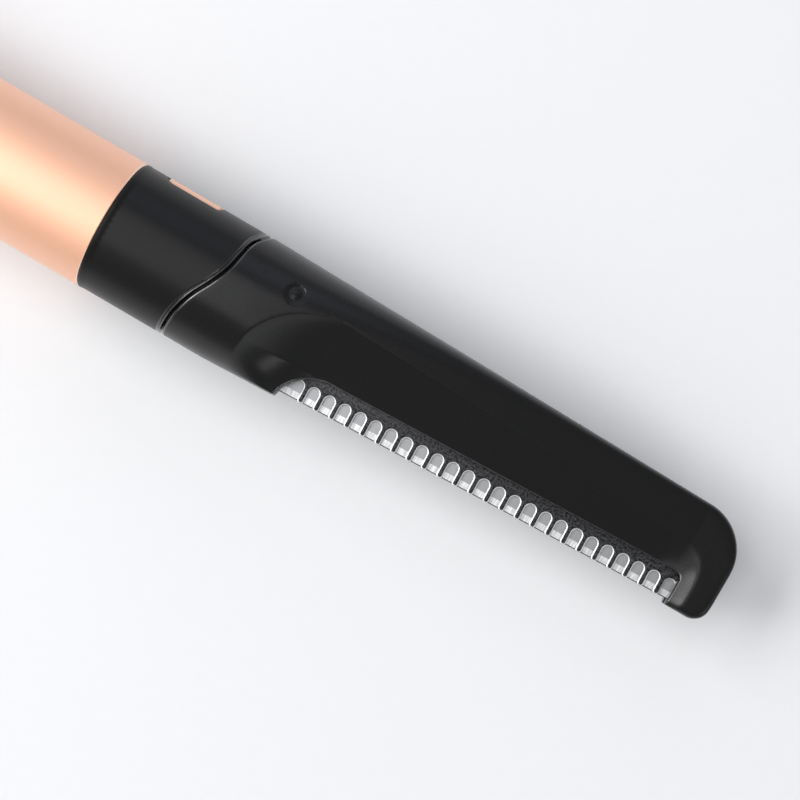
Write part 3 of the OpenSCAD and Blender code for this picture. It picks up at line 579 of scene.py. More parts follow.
# a flat line's points moved sideways by gap, to its right for side 1 and to its left for -1
def beside(line, gap, side):
    moved = []
    for i, (x, w) in enumerate(line):
        (x0, w0), (x1, w1) = line[max(0, i - 1)], line[min(len(line) - 1, i + 1)]
        length = dist((x0, w0), (x1, w1))
        moved.append((x + side * gap * (w1 - w0) / length, w - side * gap * (x1 - x0) / length))
    return moved


# distance from the wave's edge, on the head's side for side 1 and on the collar's for -1
def waveGap(x, y, side):
    step = wave["slopeStep"]
    slope = (waveX(y + step) - waveX(y - step)) / (2 * step)
    return ((x - waveX(y)) * side - wave["gap"] / 2) / hypot(1, slope)


# how far the collar's skin has dropped at a distance gap from its wave edge
def beadDrop(gap):
    inGroove = eased(1 - abs(gap - wave["grooveGap"]) / wave["grooveHalf"])
    return max(roundDrop(gap, wave["beadLip"]), wave["grooveDepth"] * inGroove)


# Head

head = {
    "taperX": 14.2,
    "taperEase": 12,
    "tipX": 70.5,
    "spineY": 6.06,
    "hookY": 4.92,
    "tipT": 5,
    "tipCornerR": 5.1,
    "hookCornerR": 1.7,
    "hookW": 3.9,
    "rearPower": 2,  # 2 gives a round section, more a squarer one
    "tipPower": 6.5,
    "rimShare": 0.3,  # thickness left at the very tip
    "boreR": 6.15,
    "boreX": 18.2,  # where it ends; its cut begins at boreRearX, behind the wave
    "boreRearX": 5,
    "seamW": 0.07,  # groove where the shells meet
    "seamDepth": 0.05,
    "seamRows": (0.5, 1.0, 1.6),
    "turnStep": 0.022,  # radians, spacing of the mesh along its round ends
    "edgeStep": 0.3,
    "endStep": 0.2,
    "grid": 0.42,
    "gridX": 9,  # where the open ground begins
    "fineGrid": 0.2,
    "fineX": (15.5, 27, 61.5),  # it is finer between the first two, below fineY, and from the last on
    "fineY": 3.6,
    "edgeRoom": 0.08,
    "seamX": (11, 22, 67),  # the seam's rows begin here, and the opening breaks them on one side
}
scoop = {
    "rearX": 26,
    "rearLen": 9,
    "rearDrop": 5,
    "creaseRearY": 3.06,
    "tipX": 62.8,
    "tipLen": 5.0,
    "tipDrop": 2.9,
    "creaseTipY": 1.9,
    "rampStart": 0.15,
    "rampPower": 2.2,
    "tipRampPower": 1.9,
    "tipPower": 3,  # 2 rounds the tip end's plan, more squares it
    "lowerRearT": 3.8,
    "lowerTipT": 2.2,
    "rearLowY": -6.2,  # as far as the mesh follows its rear end
    "turnStep": 0.03,  # radians, spacing of the mesh round its tip end
    "hookBlend": 0.3,  # how softly the floor bends into the hook
    "blendSpan": 3,  # how far that reaches, in radii of the opening's tip corner
    "soft": 0.1,  # rounding of the crease
    "leastReach": 0.003,  # keeps the ramps finite where their plan ends
}
opening = {
    "x": 22.3,
    "rearR": 4.65,
    "tipR": 0.8,
    "edgeRearY": 5.95,
    "edgeTipY": 4.35,
    "bladeGap": 0.02,
    "exposure": 2.95,
    "lipRear": 0.32,  # radius of its rounded edge
    "lipTip": 0.16,
    "lipRun": 6,  # in which the one becomes the other
    "overHook": 0.2,  # how far the hook's edge reaches past the CAD's
    "rowSpan": 0.24,  # how far in the mesh follows the edge
    "edgeStep": 0.25,
    "footStep": 0.15,
    "rearSteps": 36,
    "tipSteps": 10,
    "polishShare": 0.8,  # share of the rounded edge that is polished
    "polishZ": 0.3,  # and from which height on
}
mark = {
    "x": 19.62,
    "y": 3.15,
    "r": 0.95,
    "nubR": 0.52,  # round raised middle
    "nubShare": 0.9,  # its height, as a share of the depth
    "depth": 0.14,
    "soft": 0.28,  # width of the slope at both edges
    "rings": (1.03, 0.98, 0.92, 0.87, 0.74, 0.6, 0.53, 0.46, 0.38, 0.3, 0.15),
    "turnStep": 0.14,  # radians, spacing of the mesh along them
}

rearHigh = scoop["creaseRearY"] + scoop["rearDrop"]
tipHigh = scoop["creaseTipY"] + scoop["tipDrop"]
cornerX = head["tipX"] - head["tipCornerR"]
hookCornerX = head["tipX"] - head["hookCornerR"]
hookX = head["tipX"] - head["hookW"]
bladeX = opening["x"] + opening["bladeGap"]
edgeDx = hookX - bladeX
edgeRise = opening["edgeRearY"] - opening["edgeTipY"]
bladeTilt = atan(edgeRise / edgeDx)
edgeLen = hypot(edgeDx, edgeRise)
openingEnd = hookX - opening["overHook"]


# the plan's outline: it tapers to endY and ends in a round corner
def outlineY(x, endY, r, taperEnd):
    corner = head["tipX"] - r
    if x > corner:
        return endY - r + sqrt(max(0, r * r - (x - corner) ** 2))
    return mix(collar["r"], endY, unit((x - head["taperX"]) / (taperEnd - head["taperX"])))


def topY(x):
    return outlineY(x, head["spineY"], head["tipCornerR"], cornerX)


def bottomY(x):
    return -outlineY(x, head["hookY"], head["hookCornerR"], hookX)


# half the thickness, without the rounding of the tip
def halfZ(x):
    tipHalf, ease = head["tipT"] / 2, head["taperEase"]
    run = max(0, x - head["taperX"])
    slope = (collar["r"] - tipHalf) / (cornerX - head["taperX"] - ease / 2)
    drop = slope * run * run / (2 * ease) if run < ease else slope * (run - ease / 2)
    return max(tipHalf, collar["r"] - drop)


# how square the section is, as a superellipse's power
def power(x):
    return mix(head["rearPower"], head["tipPower"],
               eased((x - head["taperX"]) / (scoop["tipX"] - head["taperX"])))


# height of a superellipse's edge over v, both as shares
def squared(v, p):
    return max(0, 1 - min(1, abs(v)) ** p) ** (1 / p)


# share of the thickness that the rounding of the very tip leaves
def endShare(x):
    past = max(0, x - hookCornerX) / head["hookCornerR"]
    return mix(head["rimShare"], 1, squared(past, head["tipPower"]))


def middleY(x):
    return (topY(x) + bottomY(x)) / 2


def halfY(x):
    return (topY(x) - bottomY(x)) / 2


def roundZ(x, y):
    return halfZ(x) * endShare(x) * squared((y - middleY(x)) / halfY(x), power(x))


def creaseY(x):
    return mix(scoop["creaseRearY"], scoop["creaseTipY"],
               (x - scoop["rearX"]) / (scoop["tipX"] - scoop["rearX"]))


# the opening's upper edge, where the scooped face ends over the blade
def faceY(x):
    return opening["exposure"] - mix(opening["edgeRearY"], opening["edgeTipY"], (x - bladeX) / edgeDx)


# middles of the round corners at the opening's rear and tip
rearArcX = opening["x"] + opening["rearR"]
rearArcY = faceY(rearArcX) - opening["rearR"]
tipArcX = openingEnd - opening["tipR"]
tipArcY = faceY(tipArcX) - opening["tipR"]


# height of the scooped face along that edge
def lowerZ(x):
    return mix(scoop["lowerRearT"], scoop["lowerTipT"],
               unit((x - opening["x"]) / (hookX - opening["x"]))) / 2


# share of the way from the scoop's floor to its end
def ramp(x, y):
    if x < scoop["rearX"]:
        across = unit((y + scoop["rearDrop"]) / rearHigh)
        return (scoop["rearX"] - x) / scoop["rearLen"] / max(scoop["leastReach"], sqrt(1 - across**2))
    if x > scoop["tipX"]:
        across = (y + scoop["tipDrop"]) / tipHigh
        reach = max(scoop["leastReach"], squared(across, scoop["tipPower"]))
        return (x - scoop["tipX"]) / scoop["tipLen"] / reach
    return 0


# the ramp's height goes on past its end, so that the skin cuts it off in a clean edge
def rise(t, p):
    start = scoop["rampStart"]
    if t > 1:
        return 1 + (t - 1) * p / (1 - start)
    return unit((t - start) / (1 - start)) ** p


# the lower of two heights, with a rounded change from one to the other
def softMin(a, b, soft):
    reach = max(0, soft - abs(a - b)) / soft
    return min(a, b) - reach * reach * soft / 4


# distance from the opening's edge, more than 0 on the head
def openingGap(x, y):
    if x < rearArcX:
        out = hypot(x - rearArcX, y - rearArcY) - opening["rearR"]
        return out if y > rearArcY else opening["x"] - x
    if x > tipArcX:
        out = hypot(x - tipArcX, y - tipArcY) - opening["tipR"]
        return out if y > tipArcY else x - openingEnd
    return (y - faceY(x)) * cos(bladeTilt)


def lipR(x):
    return mix(opening["lipRear"], opening["lipTip"], unit((x - bladeX) / opening["lipRun"]))


def markZ(x, y):
    gap = hypot(x - mark["x"], y - mark["y"])
    soft = mark["soft"]
    inside = eased((mark["r"] + soft / 2 - gap) / soft)
    onNub = eased((mark["nubR"] + soft / 2 - gap) / (2 * soft))
    return -mark["depth"] * (inside - mark["nubShare"] * onNub)


# height of the finished skin over the razor's middle plane, outer being the unscooped one
def skinZ(x, y, outer, marked):
    crease = creaseY(x)
    face = faceY(x)
    t = (y - face) / (crease - face)
    blend = scoop["hookBlend"] * eased((x - scoop["tipX"]) / opening["tipR"] / scoop["blendSpan"])
    scooped = mix(lowerZ(x), roundZ(x, crease), (t + hypot(t, blend)) / 2)
    p = scoop["rampPower"] if x < scoop["rearX"] else scoop["tipRampPower"]
    scooped += max(0, outer - scooped) * rise(ramp(x, y), p)
    z = softMin(outer, scooped, scoop["soft"])
    z -= roundDrop(openingGap(x, y), lipR(x))
    z += markZ(x, y) if marked else 0
    return max(0, z)


# Flat domain of the skin: s runs along the spine's outline, and w round the section from the spine
# to the blade's side
domainR = 6.4  # it turns w's angle into a length in mm
lastS = cornerX + head["tipCornerR"] * quarter


def xAt(s):
    return s if s < cornerX else cornerX + head["tipCornerR"] * sin((s - cornerX) / head["tipCornerR"])


def toDomain(x, y):
    along = unit((x - cornerX) / head["tipCornerR"]) if x > cornerX else 0
    s = x if x < cornerX else cornerX + head["tipCornerR"] * asin(along)
    v = min(1, max(-1, (y - middleY(x)) / halfY(x)))
    return s, atan2(squared(v, power(x)), v) * domainR


def fromDomain(s, w):
    x = xAt(s)
    p = power(x)
    c, n = cos(w / domainR), sin(w / domainR)
    reach = (abs(c) ** p + abs(n) ** p) ** (-1 / p)
    return x, middleY(x) + halfY(x) * reach * c, halfZ(x) * endShare(x) * reach * max(0, n)


# where the plan's outline faces, for the groove at the shells' seam
def outlineNormal(x, y):
    if y > middleY(x):
        return Vector((max(0, x - cornerX), y - head["spineY"] + head["tipCornerR"])).normalized()
    return Vector((max(0, x - hookCornerX), y + head["hookY"] - head["hookCornerR"])).normalized()


# the opening's outline from its rear end to the hook, as far as the head reaches
def openingLine(grow=0.0):
    rearR = opening["rearR"] + grow
    points = arc(rearArcX, rearArcY, rearR, 180, 90, opening["rearSteps"])
    points += [(x, faceY(x) + grow / cos(bladeTilt))
               for x in spaced(rearArcX, tipArcX, opening["edgeStep"])[1:-1]]
    points += arc(tipArcX, tipArcY, opening["tipR"] + grow, 90, 0, opening["tipSteps"])
    footY = bottomY(openingEnd + grow)
    points += [(openingEnd + grow, y) for y in spaced(points[-1][1], footY, opening["footStep"])[1:]]
    inside = [p for p in points if p[1] >= bottomY(p[0])]
    # the outline starts where the rear arc crosses the head's lower edge
    firstX, firstY = inside[0]
    startX = rearArcX - sqrt(rearR**2 - (bottomY(firstX) - rearArcY)**2)
    return [(startX, bottomY(startX))] + inside[0 if firstY > bottomY(firstX) + 0.02 else 1:]


def headDomain(marked):
    sheet = Sheet()
    turnStep, edgeStep, endStep = head["turnStep"], head["edgeStep"], head["endStep"]
    rearEnd = [(waveX(collar["r"] * cos(a)) + wave["gap"] / 2, a * domainR)
               for a in spaced(0, pi, turnStep)]
    edge = [toDomain(x, y) for x, y in openingLine()]
    full = pi * domainR
    around = list(rearEnd)
    around += [(s, full) for s in spaced(rearEnd[-1][0], edge[0][0], edgeStep)[1:]]
    around += [(s, min(w, full)) for s, w in edge[1:-1]]
    around += [(s, full) for s in spaced(edge[-1][0], lastS, endStep)]
    around += [(lastS, w) for w in spaced(full, 0, endStep)[1:]]
    around += [(s, 0) for s in spaced(lastS, rearEnd[0][0], edgeStep)[1:-1]]
    sheet.line(around, closed=True)

    def put(points, room):
        sheet.dots([toDomain(*p) for p in points], room)

    # where the crease and the ends of the scoop run
    rearEdge = [(scoop["rearX"] - scoop["rearLen"] * cos(a), -scoop["rearDrop"] + rearHigh * sin(a))
                for a in spaced(quarter, 0, turnStep)]
    creaseLine = [(x, creaseY(x)) for x in spaced(scoop["rearX"], scoop["tipX"], edgeStep)]
    tipEdge = [(scoop["tipX"] + scoop["tipLen"] * squared(share, scoop["tipPower"]),
                -scoop["tipDrop"] + tipHigh * share)
               for share in [cos(a) for a in spaced(0, pi, scoop["turnStep"])]]
    tipEdge = [p for p in tipEdge if p[1] > bottomY(p[0]) + 0.1 and openingGap(*p) > 0.05]
    rearDown = [(scoop["rearX"] - scoop["rearLen"], y)
                for y in spaced(-scoop["rearDrop"], scoop["rearLowY"], endStep)]
    sheet.line([toDomain(*p) for p in rearEdge[::-1] + creaseLine[1:] + tipEdge[1:]], room=0.03)
    sheet.line([toDomain(*p) for p in rearDown], room=0.03)
    for r in mark["rings"] if marked else ():
        ring = [(mark["x"] + r * cos(a), mark["y"] + r * sin(a))
                for a in spaced(0, 2 * pi, mark["turnStep"])[:-1]]
        put(ring, 0.02)

    # rows that carry the rounded edges of the opening and the wave, the seam and the scoop's edges
    for k in lipRows:
        line = openingLine(opening["rowSpan"] * k + 0.005)
        put([p for p in line if p[1] > bottomY(p[0]) + 0.02], 0.025)
        sheet.dots(beside(rearEnd, wave["lip"] * k, 1), 0.025)
    start, stop, again = head["seamX"]
    for k in head["seamRows"]:
        w = head["seamW"] * k
        seam = [(s, w) for s in spaced(start, lastS, edgeStep)]
        seam += [(s, full - w) for s in spaced(start, stop, edgeStep) + spaced(again, lastS, endStep)]
        sheet.dots(seam, 0.02)
    for line, offsets in ((creaseLine, [(0, -0.3), (0, -0.12), (0, 0.12), (0, 0.3)]),
                          (rearEdge, [(-0.1, 0.1), (0.12, -0.12), (0.3, -0.3)]),
                          (tipEdge, [(0.08, 0.05), (-0.1, -0.05), (-0.25, -0.1)])):
        moved = [(x + dx, y + dy) for dx, dy in offsets for x, y in line]
        put([p for p in moved if openingGap(*p) > 0.02], 0.05)

    # the open ground, finer where the scoop's ends curve
    def inHead(s, w):
        x, y, z = fromDomain(s, w)
        return min(openingGap(x, y), waveGap(x, y, 1)) > head["edgeRoom"]

    def atRearEnd(s, w):
        return fromDomain(s, w)[1] < head["fineY"] and inHead(s, w)

    start, stop, again = head["fineX"]
    sheet.ground(start, stop, 0, full, head["fineGrid"], atRearEnd)
    sheet.ground(again, lastS, 0, full, head["fineGrid"], inHead)
    sheet.ground(head["gridX"], lastS, 0, full, head["grid"], inHead)
    return sheet.fill()


def makeShell(name, side):
    marked = side > 0
    flat, faces = headDomain(marked)
    points = []
    for s, w in flat:
        x, y, e = fromDomain(s, w)
        z = skinZ(x, y, e, marked)
        if e < head["seamW"] and openingGap(x, y) > 0:
            inward = outlineNormal(x, y) * head["seamDepth"] * (1 - e / head["seamW"])
            x, y = x - inward.x, y - inward.y
        if x < wave["end"]:
            shrink = 1 - roundDrop(waveGap(x, y, 1), wave["lip"]) / hypot(y, z)
            y, z = y * shrink, z * shrink
        points.append((x, y, z * side))
    faces = [f[::-1] for f in faces]
    # walls down to the middle plane, where the loop isn't on it already
    loop = openLoops(faces)[0]
    base = {}
    for k in loop:
        x, y, z = points[k]
        base[k] = k
        if abs(z) > 1e-4:
            base[k] = len(points)
            points.append((x, y, 0))
    for a, b in loopEdges(loop):
        wall = list(dict.fromkeys([b, a, base[a], base[b]]))
        if len(wall) > 2:
            faces.append(tuple(wall))
    faces.append(tuple(base[k] for k in loop))
    return makePiece(name, points, faces, "black_abs_head")


def onHeadEdge(middle, normal):
    x, y, z = middle
    if x < wave["end"]:
        return waveGap(x, y, 1) < wave["lip"]
    return 0 < openingGap(x, y) < opening["polishShare"] * lipR(x) and abs(z) > opening["polishZ"]


# a point of the blade's frame: u along its edge from the rear, v up from it
def inBladeFrame(u, v, z):
    c, n = cos(bladeTilt), sin(bladeTilt)
    return bladeX + u * c - v * n, -opening["edgeRearY"] + u * n + v * c, z


guard = {
    "t": 0.9,
    "top": 4.15,
    "lip": 0.12,
    "tuck": 0.8,
    "pitch": 1.75,
    "first": 1.75,
    "windowW": 1.33,
    "windowH": 2.05,  # to the top of its arch
    "bladeT": 0.2,
    "bladeW": 6,
    "gap": 0.02,
    "bevel": 0.13,  # of every window, inside its width
    "grind": (0.73, 0.75),  # where the blade's ground bevel gives way to its flat
    "paintedEdgeShade": (0.07, 0.12),  # and the painted shade along its very edge to the bevel
    "ribR": 0.3,  # corners of the ribs' ends, before the bevel
    "cornerSteps": 5,
    "archSteps": 20,
    "sideStep": 0.5,
    "bevelZ": (0.2, 0.95),  # how far a bevel's normal leans towards z
    "cutBelow": 3,  # how far the cuts reach past the head and the guard
    "cutPast": 5,
    "cutTop": 9,
}

for name, side, node in (("head_front", 1, "head_front_shell"), ("head_back", -1, "head_back_shell")):
    shell = makeShell(name, side)
    gap = guard["gap"]
    start, end = -guard["tuck"] - gap, edgeLen + guard["tuck"] + gap
    half = guard["t"] / 2 + gap
    cutAway(shell, box((start, -guard["cutBelow"], -half), (end, guard["top"] + gap, half), inBladeFrame))
    half = guard["bladeT"] / 2 + gap
    cutAway(shell, box((start, 0, -half), (end, guard["bladeW"] + gap, half), inBladeFrame))
    boreR, boreX, leadIn = head["boreR"], head["boreX"], collar["leadIn"]
    bore = [(head["boreRearX"], 0), (head["boreRearX"], boreR), (boreX - leadIn, boreR),
            (boreX, boreR - leadIn), (boreX, 0)]
    cutAway(shell, makePiece("cut", *lathe(bore), None))
    addFinish(shell, "black_abs_edge", onHeadEdge)
    finishPiece(shell, "blade_head", "black_abs_head", node)
print("head shells made")


# Guard

# Outline of the comb inside its bevels; the first window is open at the guard's rear end
def guardOutline():
    r, half = guard["ribR"], guard["windowW"] / 2 - guard["bevel"]
    archV = guard["windowH"] - guard["windowW"] / 2
    end = edgeLen + guard["tuck"]
    count = int((edgeLen - guard["first"]) / guard["pitch"]) + 1
    points = [(-guard["tuck"], guard["top"]), (-guard["tuck"], archV + half)]
    for k in range(count):
        u = guard["first"] + k * guard["pitch"]
        if k > 0:
            points += arc(u - half - r, r - guard["lip"], r, 270, 360, guard["cornerSteps"])
            points += [(u - half, v) for v in spaced(r, archV, guard["sideStep"])[1:-1]]
        points += arc(u, archV, half, 180 if k > 0 else 90, 0, guard["archSteps"])
        points += [(u + half, v) for v in spaced(archV, r, guard["sideStep"])[1:-1]]
        points += arc(u + half + r, r - guard["lip"], r, 180, 270, guard["cornerSteps"])
    return points + [(end, -guard["lip"]), (end, guard["top"])]


# plate with bevelled edges on both faces, from a closed outline that keeps its inside on the left
def bevelledPlate(outline, thickness, bevel):
    count = len(outline)
    inward = []
    for i in range(count):
        before, here, after = (Vector(outline[(i + k) % count]) for k in (-1, 0, 1))
        a, b = (here - before).normalized(), (after - here).normalized()
        n = Vector((-a.y - b.y, a.x + b.x))
        inward.append(n.normalized() / max(0.5, n.length / 2))
    half = thickness / 2
    # each row's inset and height; the bevel is a little bellied, and steeper than 45 degrees
    rows = [(bevel, -half), (bevel * 0.3, -half + bevel * 0.4), (0, -half + bevel * 1.3)]
    rows += [(inset, -z) for inset, z in rows[::-1]]
    points = [(*(Vector(p) + n * inset), z) for inset, z in rows for p, n in zip(outline, inward)]
    rings = [list(range(k * count, (k + 1) * count)) for k in range(len(rows))]
    return points, bridge(rings) + [rings[0][::-1], rings[-1]]


points, faces = bevelledPlate(guardOutline(), guard["t"], guard["bevel"])
guardPiece = makePiece("guard", [inBladeFrame(*p) for p in points], faces, "guard_dark")
half = (guard["bladeT"] + guard["gap"]) / 2
cutAway(guardPiece, box((-guard["cutPast"], -guard["gap"], -half),
                        (edgeLen + guard["cutPast"], guard["cutTop"], half), inBladeFrame))
low, high = guard["bevelZ"]
addFinish(guardPiece, "guard_bevel", lambda middle, normal: low < abs(normal.z) < high)
finishPiece(guardPiece, "blade_head", "guard_dark", "blade_guard")
across = inBladeFrame(0, 1, 0)
edgeStart = inBladeFrame(0, 0, 0)
coatNode("blade", bladeSteel(toFrame(*edgeStart), [a - b for a, b in zip(across, edgeStart)]))
print("guard made")


# Barrel and tail cap

barrel = {
    "r": 7.0,
    "len": 62,
    "wall": 0.8,
    "bevel": 0.2,
    "rearBevel": 0.08,  # also the tail cap's at the parting
    "steps": 256,
    "sharpFrom": 25,  # degrees
}
tail = {
    "r": 6.9,
    "x": -72,
    "roundR": 2.2,
    "roundSteps": 14,
    "plugR": 6.1,
    "plugX": -57.5,
    "boreR": 5.35,
    "floorX": -70.5,
    "sealX": -59.75,
    "grooveW": 0.55,
    "grooveR": 5.655,
    "leadLen": 0.3,
    "leadDrop": 0.2,
    "slotW": 2.1,
    "slotY": 5.675,
    "notch": 0.5,  # where the slot goes through the plug's wall
    "cutOver": 1,
}

r, length, bevel = barrel["r"], barrel["len"], barrel["bevel"]
profile = [(-length, r - barrel["wall"]), (-length, r - barrel["rearBevel"]),
           (barrel["rearBevel"] - length, r), (-bevel, r), (0, r - bevel), (0, r - barrel["wall"])]
sharp = barrel["sharpFrom"]
barrelPiece = makePiece("barrel_tube", *lathe(profile, barrel["steps"]), "rose_gold_tube", sharp)
addFinish(barrelPiece, "rose_gold_bevel", lambda middle, normal: middle[0] > -bevel)
finishPiece(barrelPiece, "handle", "rose_gold_tube", "barrel")

r, x = tail["r"], tail["x"]
profile = [(x, 0)] + arc(x + tail["roundR"], r - tail["roundR"], tail["roundR"], 180, 90, tail["roundSteps"])
profile += [(-length - barrel["rearBevel"], r), (-length, r - barrel["rearBevel"]), (-length, tail["plugR"]),
            *sealGroove(tail["sealX"], tail["grooveW"], tail["plugR"], tail["grooveR"]),
            (tail["plugX"] - tail["leadLen"], tail["plugR"]),
            (tail["plugX"], tail["plugR"] - tail["leadDrop"]),
            (tail["plugX"], tail["boreR"]), (tail["floorX"], tail["boreR"]), (tail["floorX"], 0)]
tailPiece = makePiece("tail_cap_shell", *lathe(profile, barrel["steps"]), "rose_gold_tube", sharp)
half, slotEnd, topR = tail["slotW"] / 2, tail["plugX"] + tail["cutOver"], r + tail["cutOver"]
cutAway(tailPiece, box((tail["floorX"], 0, -half), (slotEnd, tail["slotY"], half)), sharp)
cutAway(tailPiece, box((tail["plugX"] - tail["notch"], 0, -half), (slotEnd, topR, half)), sharp)
finishPiece(tailPiece, "cap", "rose_gold_tube", "tail_cap")
print("barrel and tail cap made")


# Collar

button = {
    "x": 5.65,
    "len": 5.9,
    "w": 4.5,
    "rearR": 0.9,  # plan corners at its rear and front ends
    "frontR": 0.3,
    "gap": 0.15,
    "lip": 0.5,
    "skin": 1.05,
    "edgeR": 0.16,
    "flatW": 4.3,  # the lip is cut flat over the switch, flatGap over the stem's end
    "flatGap": 0.05,
    "cutLow": 4,  # that cut begins here, and reaches cutOver past the lip's ends
    "cutOver": 0.1,
    "stemR": 0.8,
    "stemY": 5.5,
    "stemIn": 0.3,  # how far the stem reaches into the cap's skin
    "stemSteps": 48,
    "lipR": 6.05,
    "outlineStep": 0.12,
    "rowStep": 0.15,  # along the rows beside the hole, and a little less in the cap
    "capRowStep": 0.14,
    "grid": 0.25,
    "gridGap": 0.1,  # how far its dots keep from the outline
    "gridShare": 0.7,  # and from other points, as a share of the grid
    "sharpFrom": 40,  # degrees
}


# distance inside the button's outline, seen along y, with the outline larger all round by grow
def buttonGap(x, z, grow):
    r = button["rearR"] if x < button["x"] else button["frontR"]
    overX = abs(x - button["x"]) - button["len"] / 2 + r
    overZ = abs(z) - button["w"] / 2 + r
    return r + grow - hypot(max(0, overX), max(0, overZ)) - min(0, max(overX, overZ))


# points on that outline, on its straight sides too, because they lie on a round surface
def buttonLine(grow, step):
    points = []
    for k, (dirX, dirZ) in enumerate(((1, 1), (-1, 1), (-1, -1), (1, -1))):
        corner = button["frontR"] if dirX > 0 else button["rearR"]
        middle = (button["x"] + dirX * (button["len"] / 2 - corner), dirZ * (button["w"] / 2 - corner))
        r = max(0.01, corner + grow)
        for a in spaced(k * quarter, (k + 1) * quarter, step / max(r, 0.1)):
            points.append((middle[0] + r * cos(a), middle[1] + r * sin(a)))
    line = []
    for a, b in loopEdges(points):
        parts = max(1, round(dist(a, b) / (2 * step)))
        line += [(mix(a[0], b[0], i / parts), mix(a[1], b[1], i / parts)) for i in range(parts)]
    return line


def collarSkin():
    sheet = Sheet()
    r, edgeStep, holeGap = collar["r"], collar["edgeStep"], button["gap"]
    turns = spaced(-pi, pi, collar["turnStep"])
    waveLine = [(waveX(r * cos(a)) - wave["gap"] / 2, a * r) for a in turns]
    low, high = -pi * r, pi * r
    bottomRun = spaced(0, waveLine[0][0], edgeStep)
    sheet.line([(x, low) for x in bottomRun] + waveLine[1:-1] + [(x, high) for x in bottomRun[::-1]]
               + [(0, a * r) for a in turns[::-1]][1:-1], closed=True)
    hole = [(x, asin(z / r) * r) for x, z in buttonLine(holeGap, button["outlineStep"])]
    sheet.line(hole, closed=True)
    for x in (collar["rimBevel"], collar["rimW"] - collar["rimStep"], collar["rimW"]):
        sheet.line([(x, a * r) for a in turns])
    for k in lipRows:
        line = buttonLine(holeGap + collar["holeLip"] * k, button["rowStep"])
        sheet.dots([(x, asin(z / r) * r) for x, z in line], 0.02)
    for gap in collar["beadRows"]:
        sheet.dots([p for p in beside(waveLine, gap, -1) if abs(p[1]) < high], 0.022)

    def holeDepth(x, w):
        return -r if abs(w) > r else buttonGap(x, r * sin(w / r), holeGap)

    def onGround(x, w):
        fromWave = waveGap(x, r * cos(w / r), -1)
        return fromWave > collar["gridGap"] and holeDepth(x, w) < -collar["holeRoom"]

    sheet.ground(*collar["gridX"], low, high, collar["grid"], onGround)
    flat, faces = sheet.fill()
    points = []
    for x, w in flat:
        y, z = r * cos(w / r), r * sin(w / r)
        out = r - beadDrop(waveGap(x, y, -1))
        if x < collar["rimW"] - tiny:
            out = collar["rimR"] - (collar["rimBevel"] if x < tiny else 0)
        if y > 0:
            out -= roundDrop(-buttonGap(x, z, holeGap), collar["holeLip"])
        points.append((x, out * y / r, out * z / r))
    # the sleeve's inner side follows the same points, further in
    count = len(points)
    inner = collar["innerR"]
    for x, w in flat:
        y, z = inner * cos(w / r), inner * sin(w / r)
        if y > 0 and abs(buttonGap(x, r * sin(w / r), holeGap)) < tiny:
            z = r * sin(w / r)
            y = sqrt(inner**2 - z**2)
        if waveGap(x, r * cos(w / r), -1) < tiny:
            x = waveX(y) - wave["gap"] / 2
        points.append((x, y, z))
    faces = [f for f in faces if holeDepth(*(sum(flat[k][i] for k in f) / 3 for i in (0, 1))) < 0]
    # no wall where the sheet's two long sides meet, under the blade's side
    walls = [(b, a, a + count, b + count) for loop in openLoops(faces) for a, b in loopEdges(loop)
             if min(abs(flat[a][1]), abs(flat[b][1])) < high - tiny]
    inside = [tuple(k + count for k in f[::-1]) for f in faces]
    return points, faces + walls + inside


def onCollarEdge(middle, normal):
    x, y, z = middle
    return waveGap(x, y, -1) < wave["grooveGap"] + wave["grooveHalf"]


spigotX, spigotR, plugBevel = -collar["spigotLen"], collar["spigotR"], collar["plugBevel"]
neckX, neckR, leadIn = collar["neckX"], collar["neckR"], collar["leadIn"]
profile = [(spigotX, collar["boreR"]), (spigotX, spigotR - plugBevel), (plugBevel + spigotX, spigotR),
           (collar["coreX"], spigotR), (collar["coreX"], neckR),
           *sealGroove(collar["sealX"], collar["grooveW"], neckR, collar["grooveR"]),
           (neckX - leadIn, neckR), (neckX, neckR - leadIn), (neckX, 0), (neckX - collar["endT"], 0),
           (neckX - collar["endT"], collar["boreR"])]
core = makePiece("collar_core", *lathe(profile, collar["steps"]), "black_abs")
halfLen = button["len"] / 2 + button["lip"] + collar["holeOver"]
halfW = button["w"] / 2 + button["lip"] + collar["holeOver"]
low, high = collar["holeY"]
cutAway(core, box((button["x"] - halfLen, low, -halfW), (button["x"] + halfLen, high, halfW)))
collarPiece = makePiece("collar_sleeve", *collarSkin(), "black_abs")
joinPieces(collarPiece, core)
addFinish(collarPiece, "black_abs_edge", onCollarEdge)
finishPiece(collarPiece, "handle", "black_abs", "collar")
print("collar made")


# Button

# pad with the button's outline, whose top and bottom follow the collar's roundness
def buttonPad(grow, outR, inR, edgeR):
    sheet = Sheet()
    sheet.line(buttonLine(grow, button["outlineStep"]), closed=True)
    for k in lipRows if edgeR else ():
        sheet.dots(buttonLine(grow - edgeR * k, button["capRowStep"]), 0.02)
    half, step = button["len"] / 2 + grow, button["grid"]
    for i in range(int(2 * half / step) + 1):
        x = button["x"] - half + step * i
        row = [(x, z) for z in spaced(-half, half, step) if buttonGap(x, z, grow) > button["gridGap"]]
        sheet.dots(row, step * button["gridShare"])
    flat, faces = sheet.fill()
    points = [(x, sqrt(outR**2 - z**2) - (roundDrop(buttonGap(x, z, grow), edgeR) if edgeR else 0), z)
              for x, z in flat]
    count = len(points)
    points += [(x, sqrt(inR**2 - z**2), z) for x, z in flat]
    walls = [(b, a, a + count, b + count) for a, b in loopEdges(openLoops(faces)[0])]
    return points, faces + walls + [tuple(k + count for k in f[::-1]) for f in faces]


